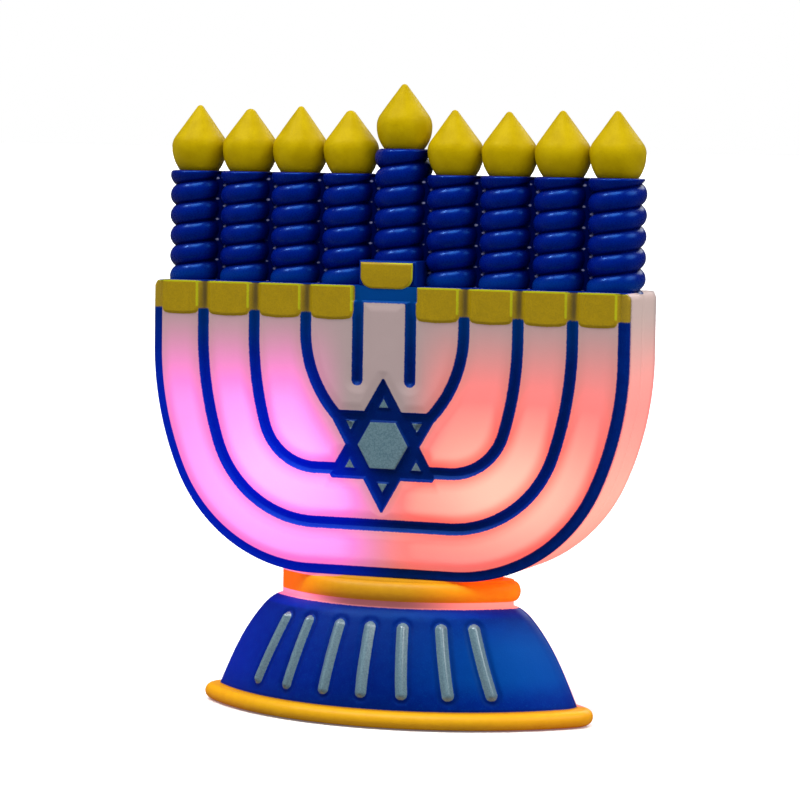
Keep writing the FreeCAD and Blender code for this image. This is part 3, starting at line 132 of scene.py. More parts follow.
RIM_HEIGHT = 2.9
RIM_EDGE = 1.4
TIP_SHARE = 0.134  # radius of a plan's tips as a share of its half width
RIM_PLAN = (37.2, -shell_low[1])
NECK_PLAN = (22.1, 10.6)
COLLAR_PLAN = (20.0, 6.8)  # goes up into the bowl's floor
COLLAR_TOP = 26.4
MOUTH_PLAN = (32.0, 15.3)
SNAP_GROOVE = 0.55  # depth of the groove that holds the plug
SNAP_LEVELS = (1.25, 2.2)
DOME_LEVELS = [RIM_HEIGHT, 11.0, 17.0, 20.4]
DOME_WIDTHS = [34.3, 30.6, 26.7, 23.6]
DOME_DEPTHS = [17.9, 16.0, 13.4, 11.7]
SHOULDER = 18.3
SHOULDER_ROUND = 1.1
RING_CENTRE = 23.1
RING_HALF_HEIGHT = 1.75
RING_REACH = 1.2
RIBS = [(0.0, 0.0), (7.4, 6.0), (15.3, 12.6), (22.2, 17.9)]  # x at the foot and at the head
RIB_FOOT = 6.0
RIB_HEAD = 17.0
RIB_RADIUS = 1.08
RIB_RAISE = 0.8
SPRING_WIRE = 0.3
SPRING_TURNS = 3


# ---- mesh and shape helpers


def smooth(low, high, value):
    """Soft step from 0 at low to 1 at high."""
    share = np.clip((value - low) / (high - low), 0, 1)
    return share * share * (3 - 2 * share)


def most(*fields):
    """Greatest of several fields, point by point."""
    return functools.reduce(np.maximum, fields)


def least(*fields):
    """Least of several fields, point by point."""
    return functools.reduce(np.minimum, fields)


def bell(value, width):
    """Bell curve, 1 where the value is 0."""
    return np.exp(-((value / width) ** 2))


def steps(length, spacing=FINE):
    """Number of mesh steps over a length."""
    return max(int(math.ceil(length / spacing)), 2)


def grid(points):
    """Patch of quads over a rows x columns array of points."""
    rows, columns = points.shape[:2]
    index = np.arange(rows * columns).reshape(rows, columns)
    quads = np.stack([index[:-1, :-1], index[:-1, 1:], index[1:, 1:], index[1:, :-1]], axis=-1)
    return points.reshape(-1, 3), quads.reshape(-1, 4).tolist()


def plate(loop):
    """Patch that closes a flat loop of points with one face."""
    return loop, [list(range(len(loop)))]


def points_of(x, y, z):
    """Points from arrays that are broadcast together."""
    return np.stack(np.broadcast_arrays(x, y, z), axis=-1).astype(float)


def new_object(name, data):
    """Object in the scene for a mesh, a lamp or a camera."""
    made = bpy.data.objects.new(name, data)
    bpy.context.scene.collection.objects.link(made)
    return made


def solid(name, patches, drop=None):
    """Closed mesh object from patches that share their edge points; drop picks faces to leave out."""
    points, faces, start = [], [], 0
    for patch_points, patch_faces in patches:
        points.append(patch_points)
        faces += [[i + start for i in face] for face in patch_faces]
        start += len(patch_points)
    points = np.concatenate(points)
    keys = np.round(points / WELD).astype(np.int64)
    _, first, same = np.unique(keys, axis=0, return_index=True, return_inverse=True)
    same = same.reshape(-1).tolist()
    points = points[first]
    welded = [list(dict.fromkeys(same[i] for i in face)) for face in faces]
    welded = [face for face in welded if len(face) > 2]
    if drop is not None:
        welded = [face for face in welded if not drop(points[face].mean(axis=0))]
    mesh = bpy.data.meshes.new(name)
    mesh.from_pydata((points * MM).tolist(), [], welded)
    mesh.validate()
    outward(mesh)
    mesh.shade_smooth()
    mesh.set_sharp_from_angle(angle=math.radians(SHARP_ANGLE))
    made = new_object(name, mesh)
    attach(made, BODY)
    return made


def outward(mesh):
    """Turn every face outward."""
    work = bmesh.new()
    work.from_mesh(mesh)
    bmesh.ops.recalc_face_normals(work, faces=work.faces)
    work.to_mesh(mesh)
    work.free()


def coordinates(piece):
    """x, y, z of a piece's points in millimetres."""
    flat = np.zeros(len(piece.data.vertices) * 3)
    piece.data.vertices.foreach_get("co", flat)
    return (flat.reshape(-1, 3) / MM).T


def paint(piece, name, values):
    """Keep a mask or a colour at every point of a piece, for its material."""
    if values.ndim == 1:
        layer = piece.data.attributes.new(name, "FLOAT", "POINT")
        layer.data.foreach_set("value", values.astype(np.float32))
        return
    layer = piece.data.attributes.new(name, "FLOAT_COLOR", "POINT")
    full = np.concatenate([values, np.ones((len(values), 1))], axis=1)
    layer.data.foreach_set("color", full.astype(np.float32).ravel())


class Bend:
    """Bowl-shaped curve: straight side, slow arc, quick arc and flat bottom."""

    def __init__(self, half_width, shoulder, radius, angle, bottom):
        self.half_width = half_width
        self.shoulder = shoulder
        self.radius = radius
        self.angle = math.radians(angle)
        self.bottom = bottom
        knee_x = half_width - radius * (1 - math.cos(self.angle))
        knee_z = shoulder - radius * math.sin(self.angle)
        self.lower = (knee_z - bottom) / (1 - math.sin(self.angle))
        self.foot_x = knee_x - self.lower * math.cos(self.angle)

    def side(self, gap, top, spacing):
        """Right-hand side from its top to the foot, a gap inside the curve, as x and z."""
        straight = np.linspace(top, self.shoulder, steps(LEDGE - self.shoulder, spacing), endpoint=False)
        slow = np.linspace(0, self.angle, steps(self.radius * self.angle, spacing), endpoint=False)
        quick_length = self.lower * (math.pi / 2 - self.angle)
        quick = np.linspace(self.angle, math.pi / 2, steps(quick_length, spacing))
        slow_r, quick_r = self.radius - gap, self.lower - gap
        across = np.concatenate([
            np.full(len(straight), self.half_width - gap),
            self.half_width - self.radius + slow_r * np.cos(slow),
            self.foot_x + quick_r * np.cos(quick),
        ])
        up = np.concatenate([
            straight,
            self.shoulder - slow_r * np.sin(slow),
            self.bottom + self.lower - quick_r * np.sin(quick),
        ])
        return across, up

    def inside(self, x, z):
        """Distance inside the curve, negative outside it."""
        x = np.abs(x)
        slow_x = self.half_width - self.radius
        slow = self.radius - np.hypot(x - slow_x, z - self.shoulder)
        quick = self.lower - np.hypot(x - self.foot_x, z - self.bottom - self.lower)
        turned = np.arctan2(self.shoulder - z, x - slow_x) > self.angle
        side = np.where(turned, quick, slow)
        side = np.where(z > self.shoulder, self.half_width - x, side)
        return np.where(turned & (x < self.foot_x), z - self.bottom, side)


# half width, shoulder height, slow radius, angle of the slow arc, bottom height
BOWL = Bend(shell_high[0], 65.4, 56.4, 24.0, BOWL_FOOT)
OUTER_GROOVE = Bend(3.5 * PITCH, 68.2, 63.5, 18.2, 34.6)
MIDDLE_GROOVE = Bend(2.5 * PITCH, 68.2, 58.7, 16.2, 44.4)
INNER_GROOVE = Bend(1.5 * PITCH, 69.1, 21.7, 48.0, 52.0)


# ---- fields on the bowl's face


def groove_distance(x, z):
    """Distance to the nearest groove's centre line."""
    outer = np.abs(OUTER_GROOVE.inside(x, z))
    middle = np.where(np.abs(x) > 7.5, np.abs(MIDDLE_GROOVE.inside(x, z)), FAR)
    inner = np.where(np.abs(x) > 6, np.abs(INNER_GROOVE.inside(x, z)), FAR)
    stem = np.hypot(np.abs(x) - PITCH / 2, np.maximum(STEM_GROOVE_FOOT - z, 0))
    return least(outer, middle, inner, stem)


def corner_distance(x, z, centre_x, centre_z, reach, count, start):
    """Distance inside a regular polygon given by the reach and start angle of its corners."""
    inside = np.full(np.shape(x), FAR)
    face = reach * math.cos(math.pi / count)
    for i in range(count):
        angle = math.radians(start + (i + 0.5) * 360 / count)
        along = (x - centre_x) * math.cos(angle) + (z - centre_z) * math.sin(angle)
        inside = np.minimum(inside, face - along)
    return inside


def star_distance(x, z):
    """Distance inside the six-pointed star: the better of its two triangles."""
    upright = corner_distance(x, z, 0, STAR_CENTRE, STAR_RADIUS, 3, 90)
    hanging = corner_distance(x, z, 0, STAR_CENTRE, STAR_RADIUS, 3, 30)
    blunt = np.where(np.abs(x) > 5, STAR_SIDE_REACH, STAR_RADIUS - 0.15) - np.hypot(x, z - STAR_CENTRE)
    return np.minimum(np.maximum(upright, hanging), blunt)


def tile_distance(x, z):
    """Distance inside the hexagon, and inside the nearest of the six small tiles."""
    hexagon = corner_distance(x, z, 0, STAR_CENTRE, HEXAGON, 6, 0)
    tiles = np.full(np.shape(x), -FAR)
    for i in range(6):
        angle = 30 + 60 * i
        across = TILE_REACH * math.cos(math.radians(angle))
        up = STAR_CENTRE + TILE_REACH * math.sin(math.radians(angle))
        tiles = np.maximum(tiles, corner_distance(x, z, across, up, TILE_RADIUS, 3, angle))
    return hexagon, tiles


def cup_distance(x, z):
    """Distance inside the nearest cup's face."""
    best = np.full(np.shape(x), -FAR)
    for centre, half in CUPS:
        off = x - centre
        sag = np.sqrt(np.maximum(CUP_RADIUS**2 - off**2, 0)) - math.sqrt(CUP_RADIUS**2 - half**2)
        low = LEDGE - CUP_SIDE - sag
        to_side, to_foot = half - np.abs(off), z - low
        corner = CUP_CORNER - np.hypot(CUP_CORNER - to_side, CUP_CORNER - to_foot)
        rounded = (to_side < CUP_CORNER) & (to_foot < CUP_CORNER)
        best = np.maximum(best, np.where(rounded, corner, np.minimum(to_side, to_foot)))
    return best


def recess_distance(x, z):
    """Distance inside the recess above the stem."""
    return np.minimum(STEM_RECESS - np.abs(x), z - STEM_TOP)


def edge_distance(x, z):
    """Distance from the nearest painted line, star or recess."""
    groove, border = groove_distance(x, z) - GROOVE, BOWL.inside(x, z) - RABBET
    return least(groove, border, -star_distance(x, z), -recess_distance(x, z))


def bowl_relief(x, z):
    """How far the painted face lies behind the arms' face; the cups stand in front of it."""
    groove = 1 - smooth(0.25, 1.15, groove_distance(x, z))
    rabbet = 1 - smooth(RABBET - 0.15, RABBET + 0.25, BOWL.inside(x, z))
    star = smooth(-0.1, 0.3, star_distance(x, z))
    recess = smooth(-0.15, 0.2, recess_distance(x, z))
    hexagon, tiles = tile_distance(x, z)
    star = star * (1 - 0.92 * smooth(-0.15, 0.2, hexagon)) * (1 - 0.5 * smooth(-0.15, 0.25, tiles))
    cut = most(groove, rabbet, star, recess)
    roll = EDGE_ROLL * (1 - smooth(0, 1.8, edge_distance(x, z))) * (1 - cut)
    cup = CUP_RAISE * smooth(-0.05, 0.3, cup_distance(x, z)) * (1 - groove) * (1 - rabbet)
    return RELIEF * cut + roll - cup


# ---- bowl


def bowl_half(name, side, edge, spacing, relief=None):
    """Hollow half of the bowl: face, rounded edge, walls, ledge and seam flange, open to the neck."""
    turns = np.linspace(0, math.pi / 2, 6)
    rim_depth = BOWL_DEPTH - (RELIEF if relief else 0)
    levels = list(zip(edge * (1 - np.sin(turns)), rim_depth - edge * (1 - np.cos(turns))))
    levels += [(0.0, depth) for depth in (6.0, 4.5, HOLE_DEPTH, 1.5, 0.2)] + [(SEAM_CHAMFER, 0.0)]
    share = np.linspace(-1, 1, steps(2 * BOWL.half_width, spacing))
    share = (share - share[::-1]) / 2  # the same on both sides to the last digit
    loops = [wall_loop(gap, LEDGE, share, side * depth, spacing) for gap, depth in levels]
    face_x, face_z = BOWL.side(edge, LEDGE, spacing)
    x = share[None, :] * face_x[:, None]
    z = np.broadcast_to(face_z[:, None], x.shape)
    depth = BOWL_DEPTH - relief(x, z) if relief else np.full(x.shape, BOWL_DEPTH)
    depth[:, [0, -1]] = rim_depth
    depth[-1, :] = rim_depth
    patches = [grid(points_of(x, side * depth, z)), grid(np.array(loops))]
    top_x = np.array([share * (BOWL.half_width - gap) for gap, _ in levels])
    top_y = np.array([depth[0] * level / rim_depth for _, level in levels])
    patches.append(grid(points_of(top_x, side * top_y, LEDGE)))
    inner_top = LEDGE - WALL
    inner_depths = [0.0, HOLE_DEPTH, rim_depth - WALL]
    inner = [wall_loop(WALL, inner_top, share, side * depth, spacing) for depth in inner_depths]
    inner_x = share * (BOWL.half_width - WALL)
    tops = [points_of(inner_x, side * depth, inner_top) for depth in inner_depths]
    patches.append(grid(np.array([loops[-1], inner[0]])))
    patches.append(grid(np.array(inner)))
    patches.append(grid(np.array([points_of(top_x[-1], 0.0, LEDGE), tops[0]])))
    patches.append(grid(np.array(tops)))
    patches.append(plate(np.concatenate([inner[-1], tops[-1][-2:0:-1]])))
    patches = [(round_top_corners(points), faces) for points, faces in patches]
    floor_x = share * BOWL.foot_x
    hole_x = floor_x[np.abs(floor_x) < HOLE_HALF_WIDTH]
    return solid(name, patches + hole_sides(hole_x, side, levels), drop=in_hole(hole_x[-1]))


def round_top_corners(points):
    """The points, with the two ends of the ledge drawn in to a small radius."""
    over_x = np.maximum(np.abs(points[:, 0]) - (BOWL.half_width - TOP_ROUND), 0)
    over_z = np.maximum(points[:, 2] - (LEDGE - TOP_ROUND), 0)
    kept = np.maximum(over_x, over_z) / np.maximum(np.hypot(over_x, over_z), 1e-9)
    kept = np.where((over_x > 0) & (over_z > 0), kept, 1.0)
    x = points[:, 0] - np.sign(points[:, 0]) * over_x * (1 - kept)
    return np.stack([x, points[:, 1], points[:, 2] - over_z * (1 - kept)], axis=1)


def in_hole(reach):
    """Test for the bowl's faces that the opening for the light mast takes away."""
    def inside(middle):
        low = middle[2] < BOWL_FOOT + WALL + 0.01
        return low and abs(middle[0]) < reach and abs(middle[1]) < HOLE_DEPTH
    return inside


def hole_sides(hole_x, side, levels):
    """Walls of the opening for the light mast in the bowl's floor."""
    inner_z = BOWL_FOOT + WALL
    back = np.array([points_of(hole_x, side * HOLE_DEPTH, z) for z in (BOWL_FOOT, inner_z)])
    patches = [grid(back)]
    for reach in (hole_x[0], hole_x[-1]):
        outline = [(reach, side * depth, BOWL_FOOT + gap) for gap, depth in levels if depth <= HOLE_DEPTH]
        outline += [(reach, 0.0, inner_z), (reach, side * HOLE_DEPTH, inner_z)]
        patches.append(plate(np.array(outline)))
    return patches


def wall_loop(gap, top, share, y, spacing):
    """Left side down, flat bottom across and right side up, a gap inside the bowl's outline."""
    x, z = BOWL.side(gap, top, spacing)
    bottom_x = share[1:-1] * BOWL.foot_x
    across = np.concatenate([-x, bottom_x, x[::-1]])
    up = np.concatenate([z, np.full(len(bottom_x), z[-1]), z[::-1]])
    return points_of(across, y, up)


# ---- cups, candles and flames


def cup_block(half, low, high, corner, front, back, edge):
    """Rings and end plates of a block with round lower corners and a rounded front edge."""
    turns = np.linspace(0, math.pi / 2, 10)
    right_x = np.concatenate([half - corner + corner * np.sin(turns), [half] * 6])
    right_z = np.concatenate([low + corner - corner * np.cos(turns), np.linspace(low + corner, high, 7)[1:]])
    top_x = np.linspace(half, -half, 31)[1:-1]
    foot_x = np.linspace(-(half - corner), half - corner, 21)[1:-1]
    x = np.concatenate([foot_x, right_x, top_x, -right_x[::-1]])
    z = np.concatenate([np.full(len(foot_x), low), right_z, np.full(len(top_x), high), right_z[::-1]])
    middle, tall = (low + high) / 2, (high - low) / 2
    rings = []
    for turn in np.linspace(0, math.pi / 2, 7):
        inset = edge * (1 - math.sin(turn))
        rings.append(points_of(x * (1 - inset / half), front + edge * (1 - math.cos(turn)),
                               middle + (z - middle) * (1 - inset / tall)))
    rings += [points_of(x, y, z) for y in np.linspace(front + edge, back, 12)[1:]]
    closed = [np.concatenate([ring, ring[:1]]) for ring in rings]
    return [grid(np.array(closed)), plate(rings[0]), plate(rings[-1])]


def candle_web():
    """Wall between the candles, that closes the gaps of the coils."""
    x = np.linspace(-4 * PITCH, 4 * PITCH, steps(8 * PITCH))
    z = np.linspace(CANDLE_FOOT, CANDLE_TOP - 0.6, steps(CANDLE_TOP - LEDGE))[:, None]
    front, rear = points_of(x, -WEB_DEPTH, z), points_of(x, WEB_DEPTH, z)
    patches = [grid(front), grid(rear)]
    for row in (0, -1):
        patches.append(grid(np.array([front[row], rear[row]])))
        patches.append(grid(np.array([front[:, row], rear[:, row]])))
    return solid("candle_web", patches)


def strand_radius(phase):
    """Radius of a candle over one coil: a round crest between two sharp crevices."""
    sag = CANDLE_CREST - CANDLE_CREVICE
    bow = (sag**2 + (COIL_PITCH / 2) ** 2) / (2 * sag)
    return CANDLE_CREST - bow + np.sqrt(bow**2 - (COIL_PITCH * (phase - 0.5)) ** 2)


def coil_phase(turn, z):
    """Place within one coil, 0 at a crevice and 0.5 at a crest, for a right-handed strand."""
    return np.mod(z / COIL_PITCH - turn / (2 * math.pi) + COIL_START, 1.0)


def candle(name, centre, top):
    """Candle made of one strand wound around its axis, with a flat top."""
    turn = np.linspace(0, 2 * math.pi, 121)[None, :]
    bend = top - CANDLE_EDGE
    z = np.concatenate([np.linspace(CANDLE_FOOT, bend, steps(top - LEDGE, 0.12)),
                        bend + CANDLE_EDGE * np.sin(np.linspace(0.1, math.pi / 2, 7))])[:, None]
    over = np.clip((z - bend) / CANDLE_EDGE, 0, 1)
    radius = strand_radius(coil_phase(turn, z)) - CANDLE_EDGE * (1 - np.sqrt(1 - over**2))
    rings = points_of(centre + radius * np.cos(turn), radius * np.sin(turn), z)
    return solid(name, [grid(rings), plate(rings[0, :-1]), plate(rings[-1, :-1])])


def flame_profile(tip_radius):
    """Radius and height of a flame: swelling foot, round belly, straight cone, round tip."""
    belly, belly_height, foot_bend, upper_bend, lean = 5.0, 4.2, 6.8, 3.4, math.radians(36)
    foot = np.linspace(-math.asin(belly_height / foot_bend), 0, 14, endpoint=False)
    upper = np.linspace(0, lean, 12)
    tip = np.linspace(lean, math.pi / 2, 9)[:-1]
    cone_x = belly - upper_bend * (1 - math.cos(lean))
    cone_z = belly_height + upper_bend * math.sin(lean)
    length = (cone_x - tip_radius * math.cos(lean)) / math.sin(lean)
    tip_z = cone_z + length * math.cos(lean) - tip_radius * math.sin(lean)
    along = np.linspace(0, length, 24)[1:-1]
    radius = np.concatenate([
        belly - foot_bend * (1 - np.cos(foot)),
        belly - upper_bend * (1 - np.cos(upper)),
        cone_x - along * math.sin(lean),
        tip_radius * np.cos(tip),
        [0.0],
    ])
    height = np.concatenate([
        belly_height + foot_bend * np.sin(foot),
        belly_height + upper_bend * np.sin(upper),
        cone_z + along * math.cos(lean),
        tip_z + tip_radius * np.sin(tip),
        [tip_z + tip_radius],
    ])
    return radius[:, None], height[:, None]


def flame(name, centre, foot_z, tip_radius, lean, extra):
    """Flame standing on a candle, a little uneven as soft vinyl is."""
    radius, height = flame_profile(tip_radius)
    turn = np.linspace(0, 2 * math.pi, 97)[None, :]
    radius = radius * (1 + 0.008 * np.sin(3 * turn + centre) + 0.006 * np.sin(0.9 * height + centre))
    share = height / FLAME_HEIGHT
    x = centre + radius * np.cos(turn) + lean * share
    rings = points_of(x, radius * np.sin(turn), foot_z + height + extra * share)
    rings[:, -1] = rings[:, 0]
    return solid(name, [grid(rings), plate(rings[0, :-1])])


# ---- base


def lens(half_width, half_depth):
    """Radius of a lens-shaped plan's tips, place of their centres, and radius of its long sides."""
    tip = half_width * TIP_SHARE
    reach = half_width - tip
    return tip, reach, (reach**2 + half_depth**2 - tip**2) / (2 * (half_depth - tip))


def plan(side, half_width, half_depth, offset=0.0):
    """Half of a lens-shaped plan with rounded tips, from the right tip round to the left one."""
    tip, reach, bow = lens(half_width, half_depth)
    join = math.atan2(bow - half_depth, reach)
    small = np.linspace(0, join, 16, endpoint=False)
    large = np.linspace(join, math.pi / 2, 230)
    x = np.concatenate([reach + (tip + offset) * np.cos(small), (bow + offset) * np.cos(large)])
    y = np.concatenate([(tip + offset) * np.sin(small), half_depth - bow + (bow + offset) * np.sin(large)])
    return np.concatenate([x, -x[-2::-1]]), side * np.concatenate([y, y[-2::-1]])


def dome_plan(z):
    """Half width and half depth of the dome at a height."""
    return (np.polyval(np.polyfit(DOME_LEVELS, DOME_WIDTHS, 3), z),
            np.polyval(np.polyfit(DOME_LEVELS, DOME_DEPTHS, 3), z))


def base_levels():
    """Outside of the base from the mouth to the neck's top: half width, half depth, offset, height."""
    levels = [(*MOUTH_PLAN, 0.0, 0.0)]
    half = RIM_HEIGHT / 2
    for turn in np.linspace(-math.pi / 2, math.pi / 2, 15):
        levels.append((*RIM_PLAN, RIM_EDGE * (math.cos(turn) - 1), half + half * math.sin(turn)))
    for z in np.linspace(RIM_HEIGHT, SHOULDER, steps(SHOULDER - RIM_HEIGHT)):
        levels.append((*dome_plan(z), 0.0, z))
    rise = DOME_LEVELS[-1] - SHOULDER
    for turn in np.linspace(0, math.pi / 2, 9)[1:]:
        z = SHOULDER + rise * math.sin(turn)
        levels.append((*dome_plan(z), -SHOULDER_ROUND * (1 - math.cos(turn)), z))
    levels.append((*NECK_PLAN, 0.0, DOME_LEVELS[-1] + 0.15))
    for turn in np.linspace(-math.pi / 2, math.pi / 2, 15):
        z = RING_CENTRE + RING_HALF_HEIGHT * math.sin(turn)
        levels.append((*NECK_PLAN, RING_REACH * math.cos(turn), z))
    for offset, over in ((0.0, -0.3), (-0.1, -0.05), (-0.4, 0.02)):
        levels.append((*NECK_PLAN, offset, BOWL_FOOT + over))
    levels += [(*COLLAR_PLAN, 0.0, z) for z in (BOWL_FOOT + 0.02, COLLAR_TOP)]
    return levels


def base_room_levels():
    """Inside of the base from the neck's top down to the mouth, with the plug's snap groove."""
    neck = tuple(size - WALL for size in NECK_PLAN)
    collar = tuple(size - WALL for size in COLLAR_PLAN)
    ceiling, dome_top = BOWL_FOOT - WALL, DOME_LEVELS[-1] - WALL
    levels = [(*collar, 0.0, z) for z in (COLLAR_TOP, ceiling)]
    levels += [(*neck, 0.0, z) for z in (ceiling - 0.02, dome_top)]
    levels += [(*dome_plan(z), -WALL, z) for z in np.linspace(dome_top, RIM_HEIGHT + 0.2, 12)]
    groove_plan = tuple(size + SNAP_GROOVE for size in MOUTH_PLAN)
    groove_low, groove_high = SNAP_LEVELS
    levels += [(*MOUTH_PLAN, 0.0, z) for z in (RIM_HEIGHT, groove_high)]
    levels += [(*groove_plan, 0.0, z) for z in (groove_high, groove_low)]
    levels += [(*MOUTH_PLAN, 0.0, z) for z in (groove_low, 0.0)]
    return levels


def dome_face_y(x, z):
    """Place of the dome's front face at x and z."""
    half_width, half_depth = dome_plan(z)
    _, _, bow = lens(half_width, half_depth)
    return -(half_depth - bow + np.sqrt(bow**2 - x**2))


def rib_lines():
    """Points along the middle of every rib, on the dome."""
    share = np.linspace(0, 1, 40)
    z = RIB_FOOT + share * (RIB_HEAD - RIB_FOOT)
    lines = []
    for foot, head in RIBS:
        for sign in ((1,) if foot == 0 else (-1, 1)):
            x = sign * (foot + share * (head - foot))
            lines.append(points_of(x, dome_face_y(x, z), z))
    return np.concatenate(lines)


def nearest_distance(points, targets):
    """Distance from each point to the nearest target."""
    tree = KDTree(len(targets))
    for i, target in enumerate(targets):
        tree.insert(Vector(target), i)
    tree.balance()
    return np.array([tree.find(Vector(point))[2] for point in points])


def raise_ribs(rings):
    """Lift the front of the dome along the ribs, with a faint hollow beside each."""
    near = (rings[..., 2] > RIB_FOOT - 2) & (rings[..., 2] < RIB_HEAD + 2) & (np.abs(rings[..., 0]) < 26)
    near &= rings[..., 1] < -6
    off = np.full(rings.shape[:2], FAR)
    off[near] = nearest_distance(rings[near], rib_lines())
    lift = RIB_RAISE * (1 - smooth(0.1, 1.15, off / RIB_RADIUS))
    lift -= 0.16 * bell(off - RIB_RADIUS - 0.35, 0.45) * (off > RIB_RADIUS)
    along = np.gradient(rings, axis=1)
    up = np.gradient(rings, axis=0)
    normal = np.cross(along, up)
    normal /= np.maximum(np.linalg.norm(normal, axis=-1, keepdims=True), 1e-9)
    normal *= np.where(normal[..., 1:2] > 0, -1, 1)
    return np.where(near[..., None], rings + normal * lift[..., None], rings)


def fade_ring(rings, side):
    """Let the neck ring run out towards its left end."""
    x, y, z = rings[..., 0], rings[..., 1], rings[..., 2]
    near_neck = np.abs(z - RING_CENTRE) < RING_HALF_HEIGHT
    neck_x, neck_y = plan(side, *NECK_PLAN)
    share = near_neck * smooth(6, 21, -neck_x)[None, :]
    flat_x, flat_y = x + (neck_x - x) * share, y + (neck_y - y) * share
    return np.stack([flat_x, flat_y, z], axis=-1)


def base_rings(side, levels):
    """Rows of points round half of the base, one row for each level."""
    return np.array([points_of(*plan(side, *shape), z) for *shape, z in levels])


def base_half(name, side):
    """Hollow half of the base: rim, dome, neck and ring."""
    outside = base_rings(side, base_levels())
    if side == FRONT:
        outside = raise_ribs(outside)
    outside = fade_ring(outside, side)
    outside[1:-1, 0, 0] -= SEAM_CHAMFER
    outside[1:-1, -1, 0] += SEAM_CHAMFER
    inside = base_rings(side, base_room_levels())
    patches = [grid(outside), grid(inside), grid(np.array([outside[-1], inside[0]]))]
    for end in (0, -1):
        patches.append(plate(np.concatenate([outside[:, end], inside[:, end]])))
    return solid(name, patches)


# ---- return spring of the switch


def return_spring():
    """Open coil spring over the plunger."""
    low, high = (np.array(corner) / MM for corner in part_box("switch_spring"))
    wire = SPRING_WIRE / 2
    radius = (high[0] - low[0]) / 2 - wire
    turn = np.linspace(0, SPRING_TURNS * 2 * math.pi, 40 * SPRING_TURNS + 1)
    centre_x, centre_y = (low[0] + high[0]) / 2, (low[1] + high[1]) / 2
    z = np.linspace(low[2] + wire, high[2] - wire, len(turn))
    around = np.linspace(0, 2 * math.pi, 13)[:, None]
    reach = radius + wire * np.cos(around)
    x, y = centre_x + reach * np.cos(turn), centre_y + reach * np.sin(turn)
    rings = points_of(x, y, z + wire * np.sin(around))
    piece = solid("return_spring", [grid(rings), plate(rings[:-1, 0]), plate(rings[:-1, -1])])
    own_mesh(piece)
    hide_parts("switch_spring")
    return piece


# ---- light inside the vinyl


def light_strength(x, z):
    """Strength of the magenta light and of the red light behind a place of the bowl."""
    rise = 1 - smooth(54, 74.5, z)
    spread = smooth(36, 58, z)
    left = smooth(10.5 * spread - 5, 9.5 * spread + 9, -x)
    right = smooth(8 * spread - 5, 8 * spread + 7, x)
    magenta = left * (0.85 * rise + 0.55 * bell(x + 20, 15) * bell(z - 43, 12))
    red = right * (0.72 * rise + 0.65 * bell(x - 24, 19) * bell(z - 42, 11))
    return magenta, red


def glow(magenta, red):
    """Colour of the light that comes out; where it is strong it washes out towards white."""
    hot_magenta, hot_red = np.maximum(magenta - 0.75, 0), np.maximum(red - 0.75, 0)
    out_red = magenta + red
    out_green = 0.02 * magenta + 0.45 * hot_magenta + 0.62 * hot_red
    out_blue = 0.45 * magenta + 0.36 * magenta**2 + 0.42 * hot_red
    return np.stack([out_red, out_green, out_blue], axis=1)


def vinyl_tint(magenta, red, flush):
    """Colour of the bare vinyl: redder where coloured light fills it, most of all beside the lines."""
    base = np.array(linear(174, 154, 153)[:3])
    lit = np.minimum(magenta * 0.7 + red, 1.0)
    keep = 1 - lit[:, None] * np.array([0.0, 0.22, 0.28]) * (1 + 0.8 * flush[:, None])
    return base * keep


def paint_glow(piece, x, y, z, flush):
    """Light through the bowl at every point; the side walls, thin and bare, pass some more."""
    magenta, red = light_strength(x, z)
    wall = 1 - smooth(BOWL_DEPTH - RELIEF - 0.8, BOWL_DEPTH - RELIEF, np.abs(y))
    dim = 1 - 0.3 * flush
    colour = glow(magenta * dim, red * dim) + wall[:, None] * np.array([0.22, 0.16, 0.13])
    paint(piece, "glow", colour)
    paint(piece, "vinyl", vinyl_tint(magenta, red, flush))


def paint_masks(piece, **masks):
    """Keep the paint masks of a vinyl piece, with its painted shade, sheen and highlight; the ones not given
    are zero.
    """
    none = np.zeros(len(piece.data.vertices))
    for name in ("blue", "gold", "lime", "silver", "amber", "shade", "teal"):
        paint(piece, name, np.clip(masks.get(name, none), 0, 1))


